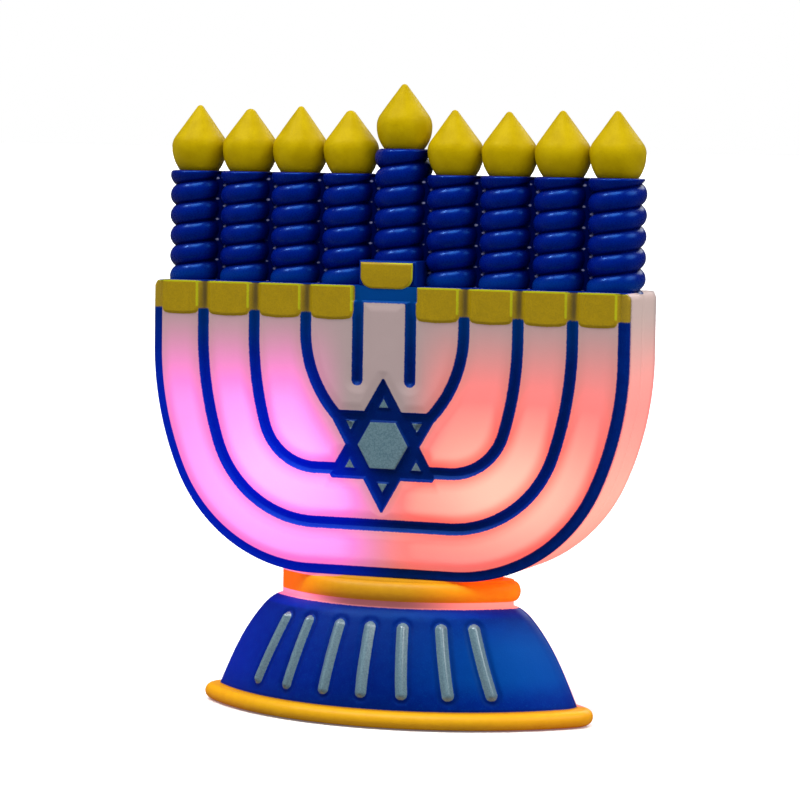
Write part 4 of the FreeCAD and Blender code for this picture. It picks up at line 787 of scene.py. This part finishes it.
def paint_front_bowl(piece):
    """Blue lines and star, gold cups with a painted yellow-green highlight on their edges, silver tiles,
    painted shade in the grooves and the star.
    """
    x, y, z = coordinates(piece)
    depth = -y
    on_face = smooth(BOWL_DEPTH - RELIEF - 0.6, BOWL_DEPTH - RELIEF - 0.25, depth)
    line = 1 - smooth(GROOVE - 0.1, GROOVE + 0.45, groove_distance(x, z))
    rabbet = 1 - smooth(RABBET - 0.05, RABBET + 0.4, BOWL.inside(x, z))
    star = smooth(-0.4, 0.05, star_distance(x, z))
    recess = smooth(-0.35, 0.0, recess_distance(x, z))
    hexagon, tiles = tile_distance(x, z)
    silver = np.maximum(smooth(-0.05, 0.3, hexagon), 0.8 * smooth(0.0, 0.35, tiles))
    blue = most(line, rabbet, star, recess) * on_face
    cup = smooth(-0.25, 0.0, cup_distance(x, z))
    beside = smooth(LEDGE - 5.6, LEDGE - 4.3, z) * smooth(STEM_RECESS - 0.4, STEM_RECESS, np.abs(x))
    gold = np.maximum(cup, beside) * on_face
    top = smooth(LEDGE - 0.12, LEDGE - 0.02, z) * (1 - smooth(BOWL_DEPTH - 0.7, BOWL_DEPTH - 0.2, depth))
    # Painted shade: between darkens the grooves between the cups, and sunk darkens the lines below the cups
    # and the star's field outside the silver.
    between = 0.8 * (1 - smooth(0.1, 0.85, groove_distance(x, z))) * smooth(LEDGE - 8, LEDGE - 3, z) * on_face
    between = between * (np.abs(x) > STEM_RECESS)
    sunk = 0.45 * (1 - smooth(0.2, 0.9, groove_distance(x, z))) * (1 - smooth(LEDGE - 6, LEDGE - 4, z))
    sunk = np.maximum(sunk, 0.5 * smooth(0.1, 0.9, star_distance(x, z)) * (1 - silver)) * on_face
    # A painted highlight in yellow-green runs along each cup's right edge and its top edge.
    right_edge = np.zeros(len(x))
    for centre, half in CUPS:
        right_edge = np.maximum(right_edge, bell(x - centre - half + 0.15, 0.28))
    cup_side = right_edge * smooth(LEDGE - 5.0, LEDGE - 4.4, z)
    lime = np.maximum(0.8 * smooth(LEDGE - 0.45, LEDGE - 0.15, z), 0.75 * cup_side) * gold * (1 - top)
    flush = (1 - smooth(0, 2.6, edge_distance(x, z))) * on_face
    teal = np.maximum(0.6 * recess, 0.35 * line * smooth(LEDGE - 14, LEDGE - 6, z)) * on_face
    paint_masks(piece, blue=np.maximum(blue, top), gold=gold * (1 - top), lime=lime * (1 - between),
                silver=silver * on_face * star, shade=np.maximum(between, sunk), teal=teal)
    paint_glow(piece, x, y, z, flush)


def paint_rear_bowl(piece):
    """Bare vinyl, but for some blue on the ledge."""
    x, y, z = coordinates(piece)
    ledge = smooth(LEDGE - 0.12, LEDGE - 0.02, z) * (1 - smooth(0.5, 4.0, y))
    paint_masks(piece, blue=ledge)
    paint_glow(piece, x, y, z, np.zeros(len(x)))


def paint_cup(piece):
    """Gold face on a blue block, with a painted yellow-green highlight round the face's rounded edge, growing
    towards the right.
    """
    x, y, _ = coordinates(piece)
    face = smooth(7.75, 7.9, -y)
    edge = (1 - smooth(8.0, 8.17, -y)) * smooth(-CUP_HALF, CUP_HALF * 0.8, x)
    paint_masks(piece, blue=1 - face, gold=face, lime=face * edge)
    paint(piece, "glow", np.zeros((len(x), 3)))
    paint(piece, "vinyl", np.full((len(x), 3), 0.3))


def paint_base(piece, side):
    """Blue dome, silver ribs, gold ring and rim, with painted shade and a painted sheen; light passes at the
    ends of ring and rim.
    """
    x, y, z = coordinates(piece)
    depth = side * y
    shown = np.ones(len(x)) if side == FRONT else 1 - smooth(0.7, 1.3, depth)
    wrapped = np.ones(len(x)) if side == FRONT else 1 - smooth(1.2, 3.5, depth)
    off = np.full(len(x), FAR)
    if side == FRONT:
        points = np.stack([x, y, z], axis=1)
        near = (y < -6) & (z > 4)
        off[near] = nearest_distance(points[near], rib_lines())
    rib = (1 - smooth(RIB_RADIUS - 0.12, RIB_RADIUS + 0.12, off)) * smooth(RIB_FOOT - 1.6, RIB_FOOT - 0.4, z)
    dome = smooth(RIM_HEIGHT - 0.1, RIM_HEIGHT + 0.3, z) * (1 - smooth(20.0, 20.5, z))
    rim = 1 - smooth(RIM_HEIGHT, RIM_HEIGHT + 0.5, z)
    ring_top = RING_CENTRE + RING_HALF_HEIGHT + 1.5 * smooth(-14, 4, x)
    ring = 1 - smooth(ring_top - 0.25, ring_top + 0.1, z)
    ring = ring * smooth(-RING_HALF_HEIGHT - 0.1, 0.25 - RING_HALF_HEIGHT, z - RING_CENTRE)
    # Painted shade: in the hollow beside each rib, on the ring's middle under the bowl, a painted shadow
    # along the dome's foot on the rim, and over the dome's middle.
    moat_shade = 0.5 * smooth(RIB_RADIUS - 0.1, RIB_RADIUS + 0.3, off) * (1 - smooth(1.5, 2.6, off))
    ring_middle_shade = 0.3 * ring * (1 - smooth(6, 18, np.abs(x)))
    dome_foot_shadow = 0.6 * bell(z - RIM_HEIGHT - 0.35, 0.3)
    dome_middle_shade = 0.5 * dome * shown * bell(x - 1, 12)
    shade = most(moat_shade, ring_middle_shade, dome_foot_shadow, dome_middle_shade)
    # Painted sheen: the dome turns a lighter, greener blue towards its right side.
    teal = 0.65 * smooth(0, 30, x) * smooth(4, 9, z) * (1 - smooth(13, 20, z))
    paint_masks(piece, blue=dome * shown, amber=np.maximum(rim, ring) * wrapped, silver=rib * shown,
                shade=shade * (1 - rib), teal=teal)
    ends = np.where(z > 19, smooth(3, 20, np.abs(x)), smooth(16, 36, np.abs(x)))
    low = 1 - smooth(3, 8, z)
    level = (0.30 - 0.15 * low) + ends * (0.75 - 0.25 * low)
    # Painted shade under the bowl: less glow on the middle of the neck, outside the ring.
    level = level * (1 - 0.6 * (1 - ring) * smooth(20, 20.6, z) * (1 - smooth(4, 16, np.abs(x))))
    share = smooth(-20, 20, x)[:, None]
    colour = (1 - share) * np.array([1.0, 0.16, 0.34]) + share * np.array([1.0, 0.20, 0.16])
    paint(piece, "glow", colour * (level * (1 + 1.6 * ring * ends))[:, None])
    # The bare vinyl of the base is darker and redder than the bowl's: painted shade and a painted tint of the
    # coloured light inside.
    paint(piece, "vinyl", np.tile([0.38, 0.17, 0.17], (len(x), 1)))


def paint_candle(piece, number, centre):
    """Painted shade where a candle turns to its neighbour and in the crevices of its coil; the paler blue
    just above the ledge is painted light from inside.
    """
    x, y, z = coordinates(piece)
    turn = np.arctan2(y, x - centre)
    right = (1 - smooth(0.25, 0.95, np.abs(turn + 0.1))) * (number < 9)
    left = 0.25 * (1 - smooth(0.15, 0.5, math.pi - np.abs(turn))) * (number > 1)
    phase = coil_phase(turn, z)
    crevice = 0.8 * (1 - smooth(0.0, 0.16, np.minimum(phase, 1 - phase)))
    paint(piece, "shade", np.clip(right + left + crevice, 0, 1))
    paint(piece, "speck", np.zeros(len(x)))
    # Painted light: the paler blue at the candle's foot stands for the light inside showing through.
    paint(piece, "low", 1 - smooth(LEDGE, LEDGE + 3, z))


def paint_web(piece):
    """Bare specks on the web at the end of every crevice, where the spray did not reach."""
    x, _, z = coordinates(piece)
    near = np.round((x - PITCH / 2) / PITCH) * PITCH + PITCH / 2
    speck = np.zeros(len(x))
    for turn, place in ((-0.45, -0.45), (0.45 - math.pi, 0.95)):
        phase = coil_phase(turn, z)
        up = np.minimum(phase, 1 - phase) * COIL_PITCH
        speck = np.maximum(speck, bell(x - near - place, 0.42) * bell(up, 0.24))
    # The whole web is painted in deep shade.
    paint(piece, "shade", np.full(len(x), 0.9))
    paint(piece, "speck", speck)
    paint(piece, "low", np.zeros(len(x)))


# ---- materials


def linear(red, green, blue):
    """Screen colour, 0 to 255, as a linear colour."""
    parts = [part / 255 for part in (red, green, blue)]
    return (*[part / 12.92 if part < 0.04 else ((part + 0.055) / 1.055) ** 2.4 for part in parts], 1.0)


class Nodes:
    """Short way to build a material's node tree."""

    def __init__(self, name):
        self.material = bpy.data.materials.new(name)
        self.material.use_nodes = True
        self.tree = self.material.node_tree
        self.shader = self.tree.nodes["Principled BSDF"]
        self.place = self.make("ShaderNodeTexCoord").outputs["Object"]

    def make(self, kind, **settings):
        node = self.tree.nodes.new(kind)
        for key, value in settings.items():
            setattr(node, key, value)
        return node

    def link(self, source, target):
        """Join a socket to an input, or set the input if the source is a plain value."""
        if isinstance(source, bpy.types.NodeSocket):
            self.tree.links.new(source, target)
        else:
            target.default_value = source
        return target

    def mask(self, name):
        return self.make("ShaderNodeAttribute", attribute_name=name).outputs["Fac"]

    def colour(self, name):
        return self.make("ShaderNodeAttribute", attribute_name=name).outputs["Color"]

    def noise(self, size, detail=3.0, rough=0.5):
        """Noise whose features are about size millimetres across."""
        node = self.make("ShaderNodeTexNoise")
        self.link(self.place, node.inputs["Vector"])
        node.inputs["Scale"].default_value = 1 / (size * MM)
        node.inputs["Detail"].default_value = detail
        node.inputs["Roughness"].default_value = rough
        return node.outputs["Fac"]

    def math(self, operation, first, second, clamp=False):
        node = self.make("ShaderNodeMath", operation=operation, use_clamp=clamp)
        self.link(first, node.inputs[0])
        self.link(second, node.inputs[1])
        return node.outputs[0]

    def times(self, first, second):
        return self.math("MULTIPLY", first, second)

    def ramp(self, value, low, high, to_low=0.0, to_high=1.0):
        node = self.make("ShaderNodeMapRange", interpolation_type="SMOOTHSTEP")
        self.link(value, node.inputs["Value"])
        for key, number in (("From Min", low), ("From Max", high), ("To Min", to_low), ("To Max", to_high)):
            node.inputs[key].default_value = number
        return node.outputs["Result"]

    def mix(self, share, first, second, kind="MIX"):
        node = self.make("ShaderNodeMix", data_type="RGBA", blend_type=kind)
        self.link(share, node.inputs["Factor"])
        self.link(first, node.inputs["A"])
        self.link(second, node.inputs["B"])
        return node.outputs["Result"]

    def blend(self, share, first, second):
        node = self.make("ShaderNodeMix", data_type="FLOAT")
        self.link(share, node.inputs["Factor"])
        self.link(first, node.inputs["A"])
        self.link(second, node.inputs["B"])
        return node.outputs["Result"]

    def bump(self, height, depth):
        """Surface relief of a depth in millimetres from a 0 to 1 height."""
        node = self.make("ShaderNodeBump")
        node.inputs["Strength"].default_value = 1.0
        node.inputs["Distance"].default_value = depth * MM
        self.link(height, node.inputs["Height"])
        return node.outputs["Normal"]

    def finish(self, **inputs):
        for key, value in inputs.items():
            self.link(value, self.shader.inputs[key.replace("_", " ")])
        return self.material


WHITE = (1.0, 1.0, 1.0, 1.0)
BLUE_SHINE = (0.03, 0.32, 1.0, 1.0)


def sprayed(nodes, mask, grain, spread):
    """Paint mask with a grainy, oversprayed edge."""
    shifted = nodes.math("ADD", nodes.times(nodes.math("SUBTRACT", grain, 0.5), spread), mask)
    return nodes.ramp(shifted, 0.3, 0.7)


def vinyl_material():
    """Translucent vinyl lit from inside, with blue, gold, amber and silver spray paint, a lighter greener
    blue that is a painted sheen on the dome and a tint on the bowl, painted yellow-green highlights and
    painted shade.
    """
    nodes = Nodes("painted_vinyl_look")
    fine, coarse, drift = nodes.noise(0.25, 2), nodes.noise(1.6, 3), nodes.noise(9.0, 2)
    vinyl = nodes.mix(nodes.ramp(drift, 0.3, 0.7, 0.0, 0.06), nodes.colour("vinyl"), linear(120, 105, 104))
    blue = nodes.mix(coarse, linear(0, 12, 98), linear(0, 36, 124))
    blue = nodes.mix(nodes.ramp(fine, 0.5, 0.8, 0.0, 0.35), blue, linear(0, 72, 140))
    # Lighter, greener blue: a painted sheen on the dome's right side, a tint in the bowl's recess and upper
    # lines.
    blue = nodes.mix(nodes.mask("teal"), blue, linear(0, 74, 142))
    gold = nodes.mix(coarse, linear(152, 126, 0), linear(172, 142, 0))
    gold = nodes.mix(nodes.ramp(fine, 0.3, 0.8, 0.0, 0.45), gold, linear(124, 104, 0))
    amber = nodes.mix(coarse, linear(202, 148, 0), linear(216, 164, 6))
    silver = nodes.mix(nodes.ramp(fine, 0.3, 0.7), linear(76, 108, 122), linear(104, 134, 144))
    blue_mask = sprayed(nodes, nodes.mask("blue"), nodes.noise(0.35, 2), 0.5)
    gold_mask = sprayed(nodes, nodes.mask("gold"), nodes.noise(0.35, 2), 0.55)
    amber_mask = sprayed(nodes, nodes.mask("amber"), fine, 0.3)
    silver_mask = sprayed(nodes, nodes.mask("silver"), fine, 0.2)
    # Yellow-green layer: a painted highlight on the cups' edges.
    lime_mask = sprayed(nodes, nodes.mask("lime"), fine, 0.5)
    colour, passed = vinyl, WHITE
    layers = (
        (blue_mask, blue, (0.0, 0.01, 0.6, 1.0)),
        (amber_mask, amber, (0.24, 0.02, 0.0, 1.0)),
        (gold_mask, gold, (0.05, 0.02, 0.0, 1.0)),
        (lime_mask, linear(180, 180, 8), (0.03, 0.02, 0.0, 1.0)),
        (silver_mask, silver, (0.03, 0.02, 0.02, 1.0)),
    )
    for mask, layer, tint in layers:
        colour = nodes.mix(mask, colour, layer)
        passed = nodes.mix(mask, passed, tint)
    colour = nodes.mix(nodes.times(nodes.mask("shade"), 0.75), colour, (0.0, 0.0, 0.012, 1.0))
    paint_height = nodes.math("ADD", nodes.times(fine, 0.4), nodes.times(coarse, 0.6))
    shine = nodes.blend(silver_mask, nodes.blend(blue_mask, 0.2, 0.4), 0.9)
    shine_tint = nodes.mix(silver_mask, nodes.mix(blue_mask, WHITE, BLUE_SHINE), WHITE)
    return nodes.finish(
        Base_Color=colour,
        Roughness=nodes.blend(silver_mask, nodes.ramp(fine, 0.3, 0.7, 0.4, 0.5), 0.3),
        Specular_IOR_Level=shine,
        Specular_Tint=shine_tint,
        Emission_Color=nodes.mix(1.0, nodes.colour("glow"), passed, "MULTIPLY"),
        Emission_Strength=nodes.ramp(drift, 0.3, 0.7, 0.96, 1.04),
        Normal=nodes.bump(paint_height, 0.04),
    )


def candle_material():
    """Glossy blue paint with painted shade in the crevices, painted light from inside as a paler blue at the
    foot, and bare vinyl specks.
    """
    nodes = Nodes("candle_blue_look")
    fine, coarse = nodes.noise(0.3, 2), nodes.noise(2.2, 3)
    blue = nodes.mix(coarse, linear(0, 13, 102), linear(0, 27, 128))
    # Painted light from inside: paler blue at the candle's foot.
    blue = nodes.mix(nodes.times(nodes.mask("low"), 0.4), blue, linear(0, 76, 160))
    blue = nodes.mix(nodes.times(nodes.mask("shade"), 0.85), blue, linear(0, 0, 46))
    speck = nodes.times(nodes.mask("speck"), nodes.ramp(nodes.noise(1.1, 2), 0.25, 0.6, 0.35, 1.0))
    speck = nodes.ramp(speck, 0.3, 0.75)
    shade_left = nodes.math("SUBTRACT", 1.0, nodes.times(nodes.mask("shade"), 0.9), clamp=True)
    return nodes.finish(
        Base_Color=nodes.mix(speck, blue, linear(140, 142, 182)),
        Roughness=nodes.ramp(fine, 0.2, 0.8, 0.24, 0.32),
        Specular_IOR_Level=nodes.times(shade_left, 0.5),
        Specular_Tint=BLUE_SHINE,
        Normal=nodes.bump(coarse, 0.012),
    )


def flame_material():
    """Satin yellow paint with faint mottling."""
    nodes = Nodes("flame_yellow_look")
    fine, coarse = nodes.noise(0.35, 2), nodes.noise(3.0, 3)
    yellow = nodes.mix(nodes.ramp(coarse, 0.3, 0.7), linear(172, 146, 0), linear(184, 158, 4))
    yellow = nodes.mix(nodes.ramp(fine, 0.45, 0.8, 0.0, 0.25), yellow, linear(158, 130, 0))
    return nodes.finish(
        Base_Color=yellow,
        Roughness=nodes.ramp(fine, 0.3, 0.7, 0.38, 0.48),
        Specular_IOR_Level=0.1,
        Specular_Tint=(1.0, 0.85, 0.2, 1.0),
        Normal=nodes.bump(nodes.math("ADD", coarse, fine), 0.03),
    )


def mottled(nodes, colour, size, darkest):
    """Colour that turns darker in patches of a size."""
    darker = tuple(part * darkest for part in colour[:3]) + (1.0,)
    return nodes.mix(nodes.ramp(nodes.noise(size, 2), 0.3, 0.7), colour, darker)


def moulded_plastic(name, colour, roughness, grain=0.4):
    """Hard plastic with a faint moulded grain and uneven gloss."""
    nodes = Nodes(name)
    fine = nodes.noise(grain, 3)
    return nodes.finish(
        Base_Color=mottled(nodes, linear(*colour), 6.0, 0.86),
        Roughness=nodes.ramp(fine, 0.3, 0.7, roughness * 0.85, roughness * 1.2),
        Normal=nodes.bump(fine, 0.02),
    )


def plated_metal(name, colour, roughness):
    """Plated steel with fine drawn scratches."""
    nodes = Nodes(name)
    fine = nodes.noise(0.15, 4)
    return nodes.finish(
        Base_Color=mottled(nodes, linear(*colour), 2.5, 0.75),
        Metallic=1.0,
        Roughness=nodes.ramp(fine, 0.3, 0.7, roughness * 0.7, roughness * 1.3),
        Normal=nodes.bump(fine, 0.01),
    )


def lit_epoxy(name, colour):
    """Tinted clear epoxy of a lamp that is on."""
    nodes = Nodes(name)
    swirl = nodes.noise(0.8, 2)
    base = linear(*colour)
    return nodes.finish(
        Base_Color=base,
        Roughness=nodes.ramp(swirl, 0.3, 0.7, 0.08, 0.2),
        Emission_Color=base,
        Emission_Strength=nodes.ramp(swirl, 0.3, 0.7, 1.6, 2.4),
    )


def dress(node, material):
    """Give a CAD node its material in every slot."""
    for slot in frame["nodes"][node].material_slots:
        slot.material = material


def dress_module():
    """Materials of the plug, door, screws and everything inside."""
    white = moulded_plastic("white_abs_look", (232, 230, 224), 0.38)
    black = moulded_plastic("black_plastic_look", (26, 26, 28), 0.3)
    screw = plated_metal("screw_look", (188, 188, 192), 0.3)
    cell = plated_metal("cell_look", (205, 205, 208), 0.22)
    contact = plated_metal("contact_look", (208, 204, 190), 0.25)
    looks = {
        "switch_body": moulded_plastic("switch_case_look", (214, 212, 200), 0.5),
        "circuit_board": moulded_plastic("board_look", (20, 92, 52), 0.35, 0.25),
        "driver_chip": moulded_plastic("resin_look", (14, 14, 15), 0.18),
        "board_resistors": moulded_plastic("ceramic_look", (34, 34, 40), 0.5, 0.2),
        "magenta_led": lit_epoxy("magenta_light_look", (255, 110, 235)),
        "red_led": lit_epoxy("red_light_look", (255, 70, 50)),
        "magenta_led_wires": moulded_plastic("magenta_led_wires_look", (222, 222, 218), 0.4),
        "red_led_wires": moulded_plastic("red_led_wires_look", (190, 30, 24), 0.4),
        "battery_wires": moulded_plastic("battery_wires_look", (28, 28, 28), 0.4),
    }
    looks.update(dict.fromkeys(("base_plug", "battery_door", "led_mast"), white))
    looks.update(dict.fromkeys(("push_button", "switch_plunger"), black))
    looks.update(dict.fromkeys(("left_door_screw", "right_door_screw", "board_screw"), screw))
    looks.update(dict.fromkeys(("button_cell_1", "button_cell_2", "button_cell_3"), cell))
    looks.update(dict.fromkeys(("positive_contact", "negative_contact", "contact_spring"), contact))
    for node, material in looks.items():
        dress(node, material)
    return_spring().data.materials.append(contact)


# ---- studio


WORLD_LIGHT = 0.42
WORLD_REFLECTION = 0.06
FLOOR_REACH = 60.0  # metres, so that its far edge meets the white background
FLOOR_HEIGHT = -0.0002  # metres, just under the resting face
CAMERA_AZIMUTH, CAMERA_ELEVATION, CAMERA_ROLL = 20.78, 4.35, 0.9  # degrees
CAMERA_DISTANCE = 0.6019  # metres from the target
CAMERA_TARGET = (-0.00005, 0.0, 0.0564)
CAMERA_LENS = 150.73
CAMERA_SENSOR = 36.0


def camera_height(nodes):
    """Height of the camera above the floor, whichever camera is in use."""
    place = nodes.make("ShaderNodeVectorTransform", vector_type="POINT")
    place.convert_from, place.convert_to = "CAMERA", "WORLD"
    place.inputs["Vector"].default_value = (0, 0, 0)
    parts = nodes.make("ShaderNodeSeparateXYZ")
    nodes.link(place.outputs["Vector"], parts.inputs[0])
    return parts.outputs["Z"]


def floor():
    """Wide pale floor: near white to the camera, darker to bounced light so that undersides stay in shade.

    It is clear for a camera below it, so that the object's underside can be looked at.
    """
    nodes = Nodes("floor_look")
    soft = nodes.noise(40.0, 2)
    seen = nodes.mix(nodes.ramp(soft, 0.3, 0.7), linear(250, 250, 250), linear(247, 247, 248))
    path = nodes.make("ShaderNodeLightPath")
    to_camera = path.outputs["Is Camera Ray"]
    bounced = nodes.mix(path.outputs["Is Glossy Ray"], linear(150, 150, 150), linear(60, 60, 60))
    material = nodes.finish(
        Base_Color=nodes.mix(to_camera, bounced, seen),
        Roughness=0.9,
        Specular_IOR_Level=0.1,
        Emission_Color=(1, 1, 1, 1),
        Emission_Strength=nodes.times(to_camera, 0.12),
        Alpha=nodes.math("GREATER_THAN", camera_height(nodes), 0.0),
    )
    mesh = bpy.data.meshes.new("floor")
    corners = [(x * FLOOR_REACH, y * FLOOR_REACH, 0) for x, y in ((-1, -1), (1, -1), (1, 1), (-1, 1))]
    mesh.from_pydata(corners, [], [(0, 1, 2, 3)])
    mesh.materials.append(material)
    made = new_object("floor", mesh)
    made.location.z = FLOOR_HEIGHT


def world():
    """White to the camera, an even soft light on the object, nearly dark in reflections."""
    made = bpy.data.worlds.new("studio")
    made.use_nodes = True
    tree = made.node_tree
    path = tree.nodes.new("ShaderNodeLightPath")
    strength = WORLD_LIGHT
    for ray, value in (("Is Glossy Ray", WORLD_REFLECTION), ("Is Camera Ray", 1.0)):
        choice = tree.nodes.new("ShaderNodeMix")
        choice.data_type = "FLOAT"
        choice.inputs["B"].default_value = value
        if isinstance(strength, float):
            choice.inputs["A"].default_value = strength
        else:
            tree.links.new(strength, choice.inputs["A"])
        tree.links.new(path.outputs[ray], choice.inputs["Factor"])
        strength = choice.outputs["Result"]
    background = tree.nodes["Background"]
    tree.links.new(strength, background.inputs["Strength"])
    background.inputs["Color"].default_value = WHITE
    bpy.context.scene.world = made


def direction(azimuth, elevation):
    """Unit vector towards an azimuth, 0 in front of the object, and an elevation, in degrees."""
    a, e = math.radians(azimuth), math.radians(elevation)
    return Vector((math.sin(a) * math.cos(e), -math.cos(a) * math.cos(e), math.sin(e)))


def lamp(name, azimuth, elevation, spread, strength):
    """Distant soft light; strength 1 lights a facing white surface to 1."""
    data = bpy.data.lights.new(name, "SUN")
    data.angle = math.radians(spread)
    data.energy = strength * math.pi
    made = new_object(name, data)
    made.location = direction(azimuth, elevation)
    made.rotation_euler = made.location.to_track_quat("Z", "Y").to_euler()


def camera():
    """Nearly level view from a little to the right, tilted by a degree."""
    back = direction(CAMERA_AZIMUTH, CAMERA_ELEVATION)
    right = direction(CAMERA_AZIMUTH + 90, 0)
    up = back.cross(right)
    roll = math.radians(CAMERA_ROLL)
    tilted_right = right * math.cos(roll) + up * math.sin(roll)
    tilted_up = up * math.cos(roll) - right * math.sin(roll)
    data = bpy.data.cameras.new("camera")
    data.lens = CAMERA_LENS
    data.sensor_width = CAMERA_SENSOR
    data.clip_start = 0.01
    turn = Matrix((tilted_right, tilted_up, back)).transposed()
    place = Vector(CAMERA_TARGET) + back * CAMERA_DISTANCE
    made = new_object("camera", data)
    made.matrix_world = Matrix.Translation(place) @ turn.to_4x4()
    bpy.context.scene.camera = made


def studio():
    """Floor, world, lamps and camera."""
    floor()
    world()
    lamp("top", -12, 66, 35, 0.78)
    lamp("back", 170, 40, 40, 0.35)
    lamp("below", -30, -60, 40, 0.4)
    lamp("left", -60, 50, 6, 0.30)
    lamp("right", 83, 42, 35, 0.45)
    camera()
    view = bpy.context.scene.view_settings
    view.view_transform = "Standard"
    view.look = "None"


# ---- assembly


def finish_piece(piece, material):
    """Material in Blender."""
    piece.data.materials.append(material)


def build():
    """Make every piece of the shells, give it its paint and material, and dress the CAD nodes."""
    vinyl, blue, yellow = vinyl_material(), candle_material(), flame_material()
    front_bowl = bowl_half("front_bowl", FRONT, FRONT_EDGE, FINE, bowl_relief)
    rear_bowl = bowl_half("rear_bowl", REAR, REAR_EDGE, COARSE)
    front_base = base_half("front_base", FRONT)
    rear_base = base_half("rear_base", REAR)
    cup = solid("centre_cup", cup_block(CUP_HALF, CUP_FOOT, CUP_TOP, 2.3, -8.2, -7.0, 0.5))
    seat = solid("cup_seat", cup_block(5.5, LEDGE - 0.2, CUP_TOP + 0.3, 0.4, -7.4, -2.0, 0.5))
    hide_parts("front_shell")
    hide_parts("rear_shell")
    paint_front_bowl(front_bowl)
    paint_rear_bowl(rear_bowl)
    paint_base(front_base, FRONT)
    paint_base(rear_base, REAR)
    paint_cup(cup)
    paint_cup(seat)
    for piece in (front_bowl, front_base, cup, seat):
        finish_piece(piece, vinyl)
    for piece in (rear_bowl, rear_base):
        finish_piece(piece, vinyl)
    web = candle_web()
    paint_web(web)
    finish_piece(web, blue)
    for i, (lean, extra) in enumerate(zip(FLAME_LEAN, FLAME_EXTRA)):
        centre = (i - 4) * PITCH
        top = TALL_CANDLE_TOP if i == 4 else CANDLE_TOP
        stick = candle(f"candle_{i + 1}", centre, top)
        paint_candle(stick, i + 1, centre)
        finish_piece(stick, blue)
        tip = 1.15 if i in (1, 3) else 0.7
        light = flame(f"flame_{i + 1}", centre, top - 0.05, tip, lean, extra)
        finish_piece(light, yellow)
    dress_module()


build()
studio()
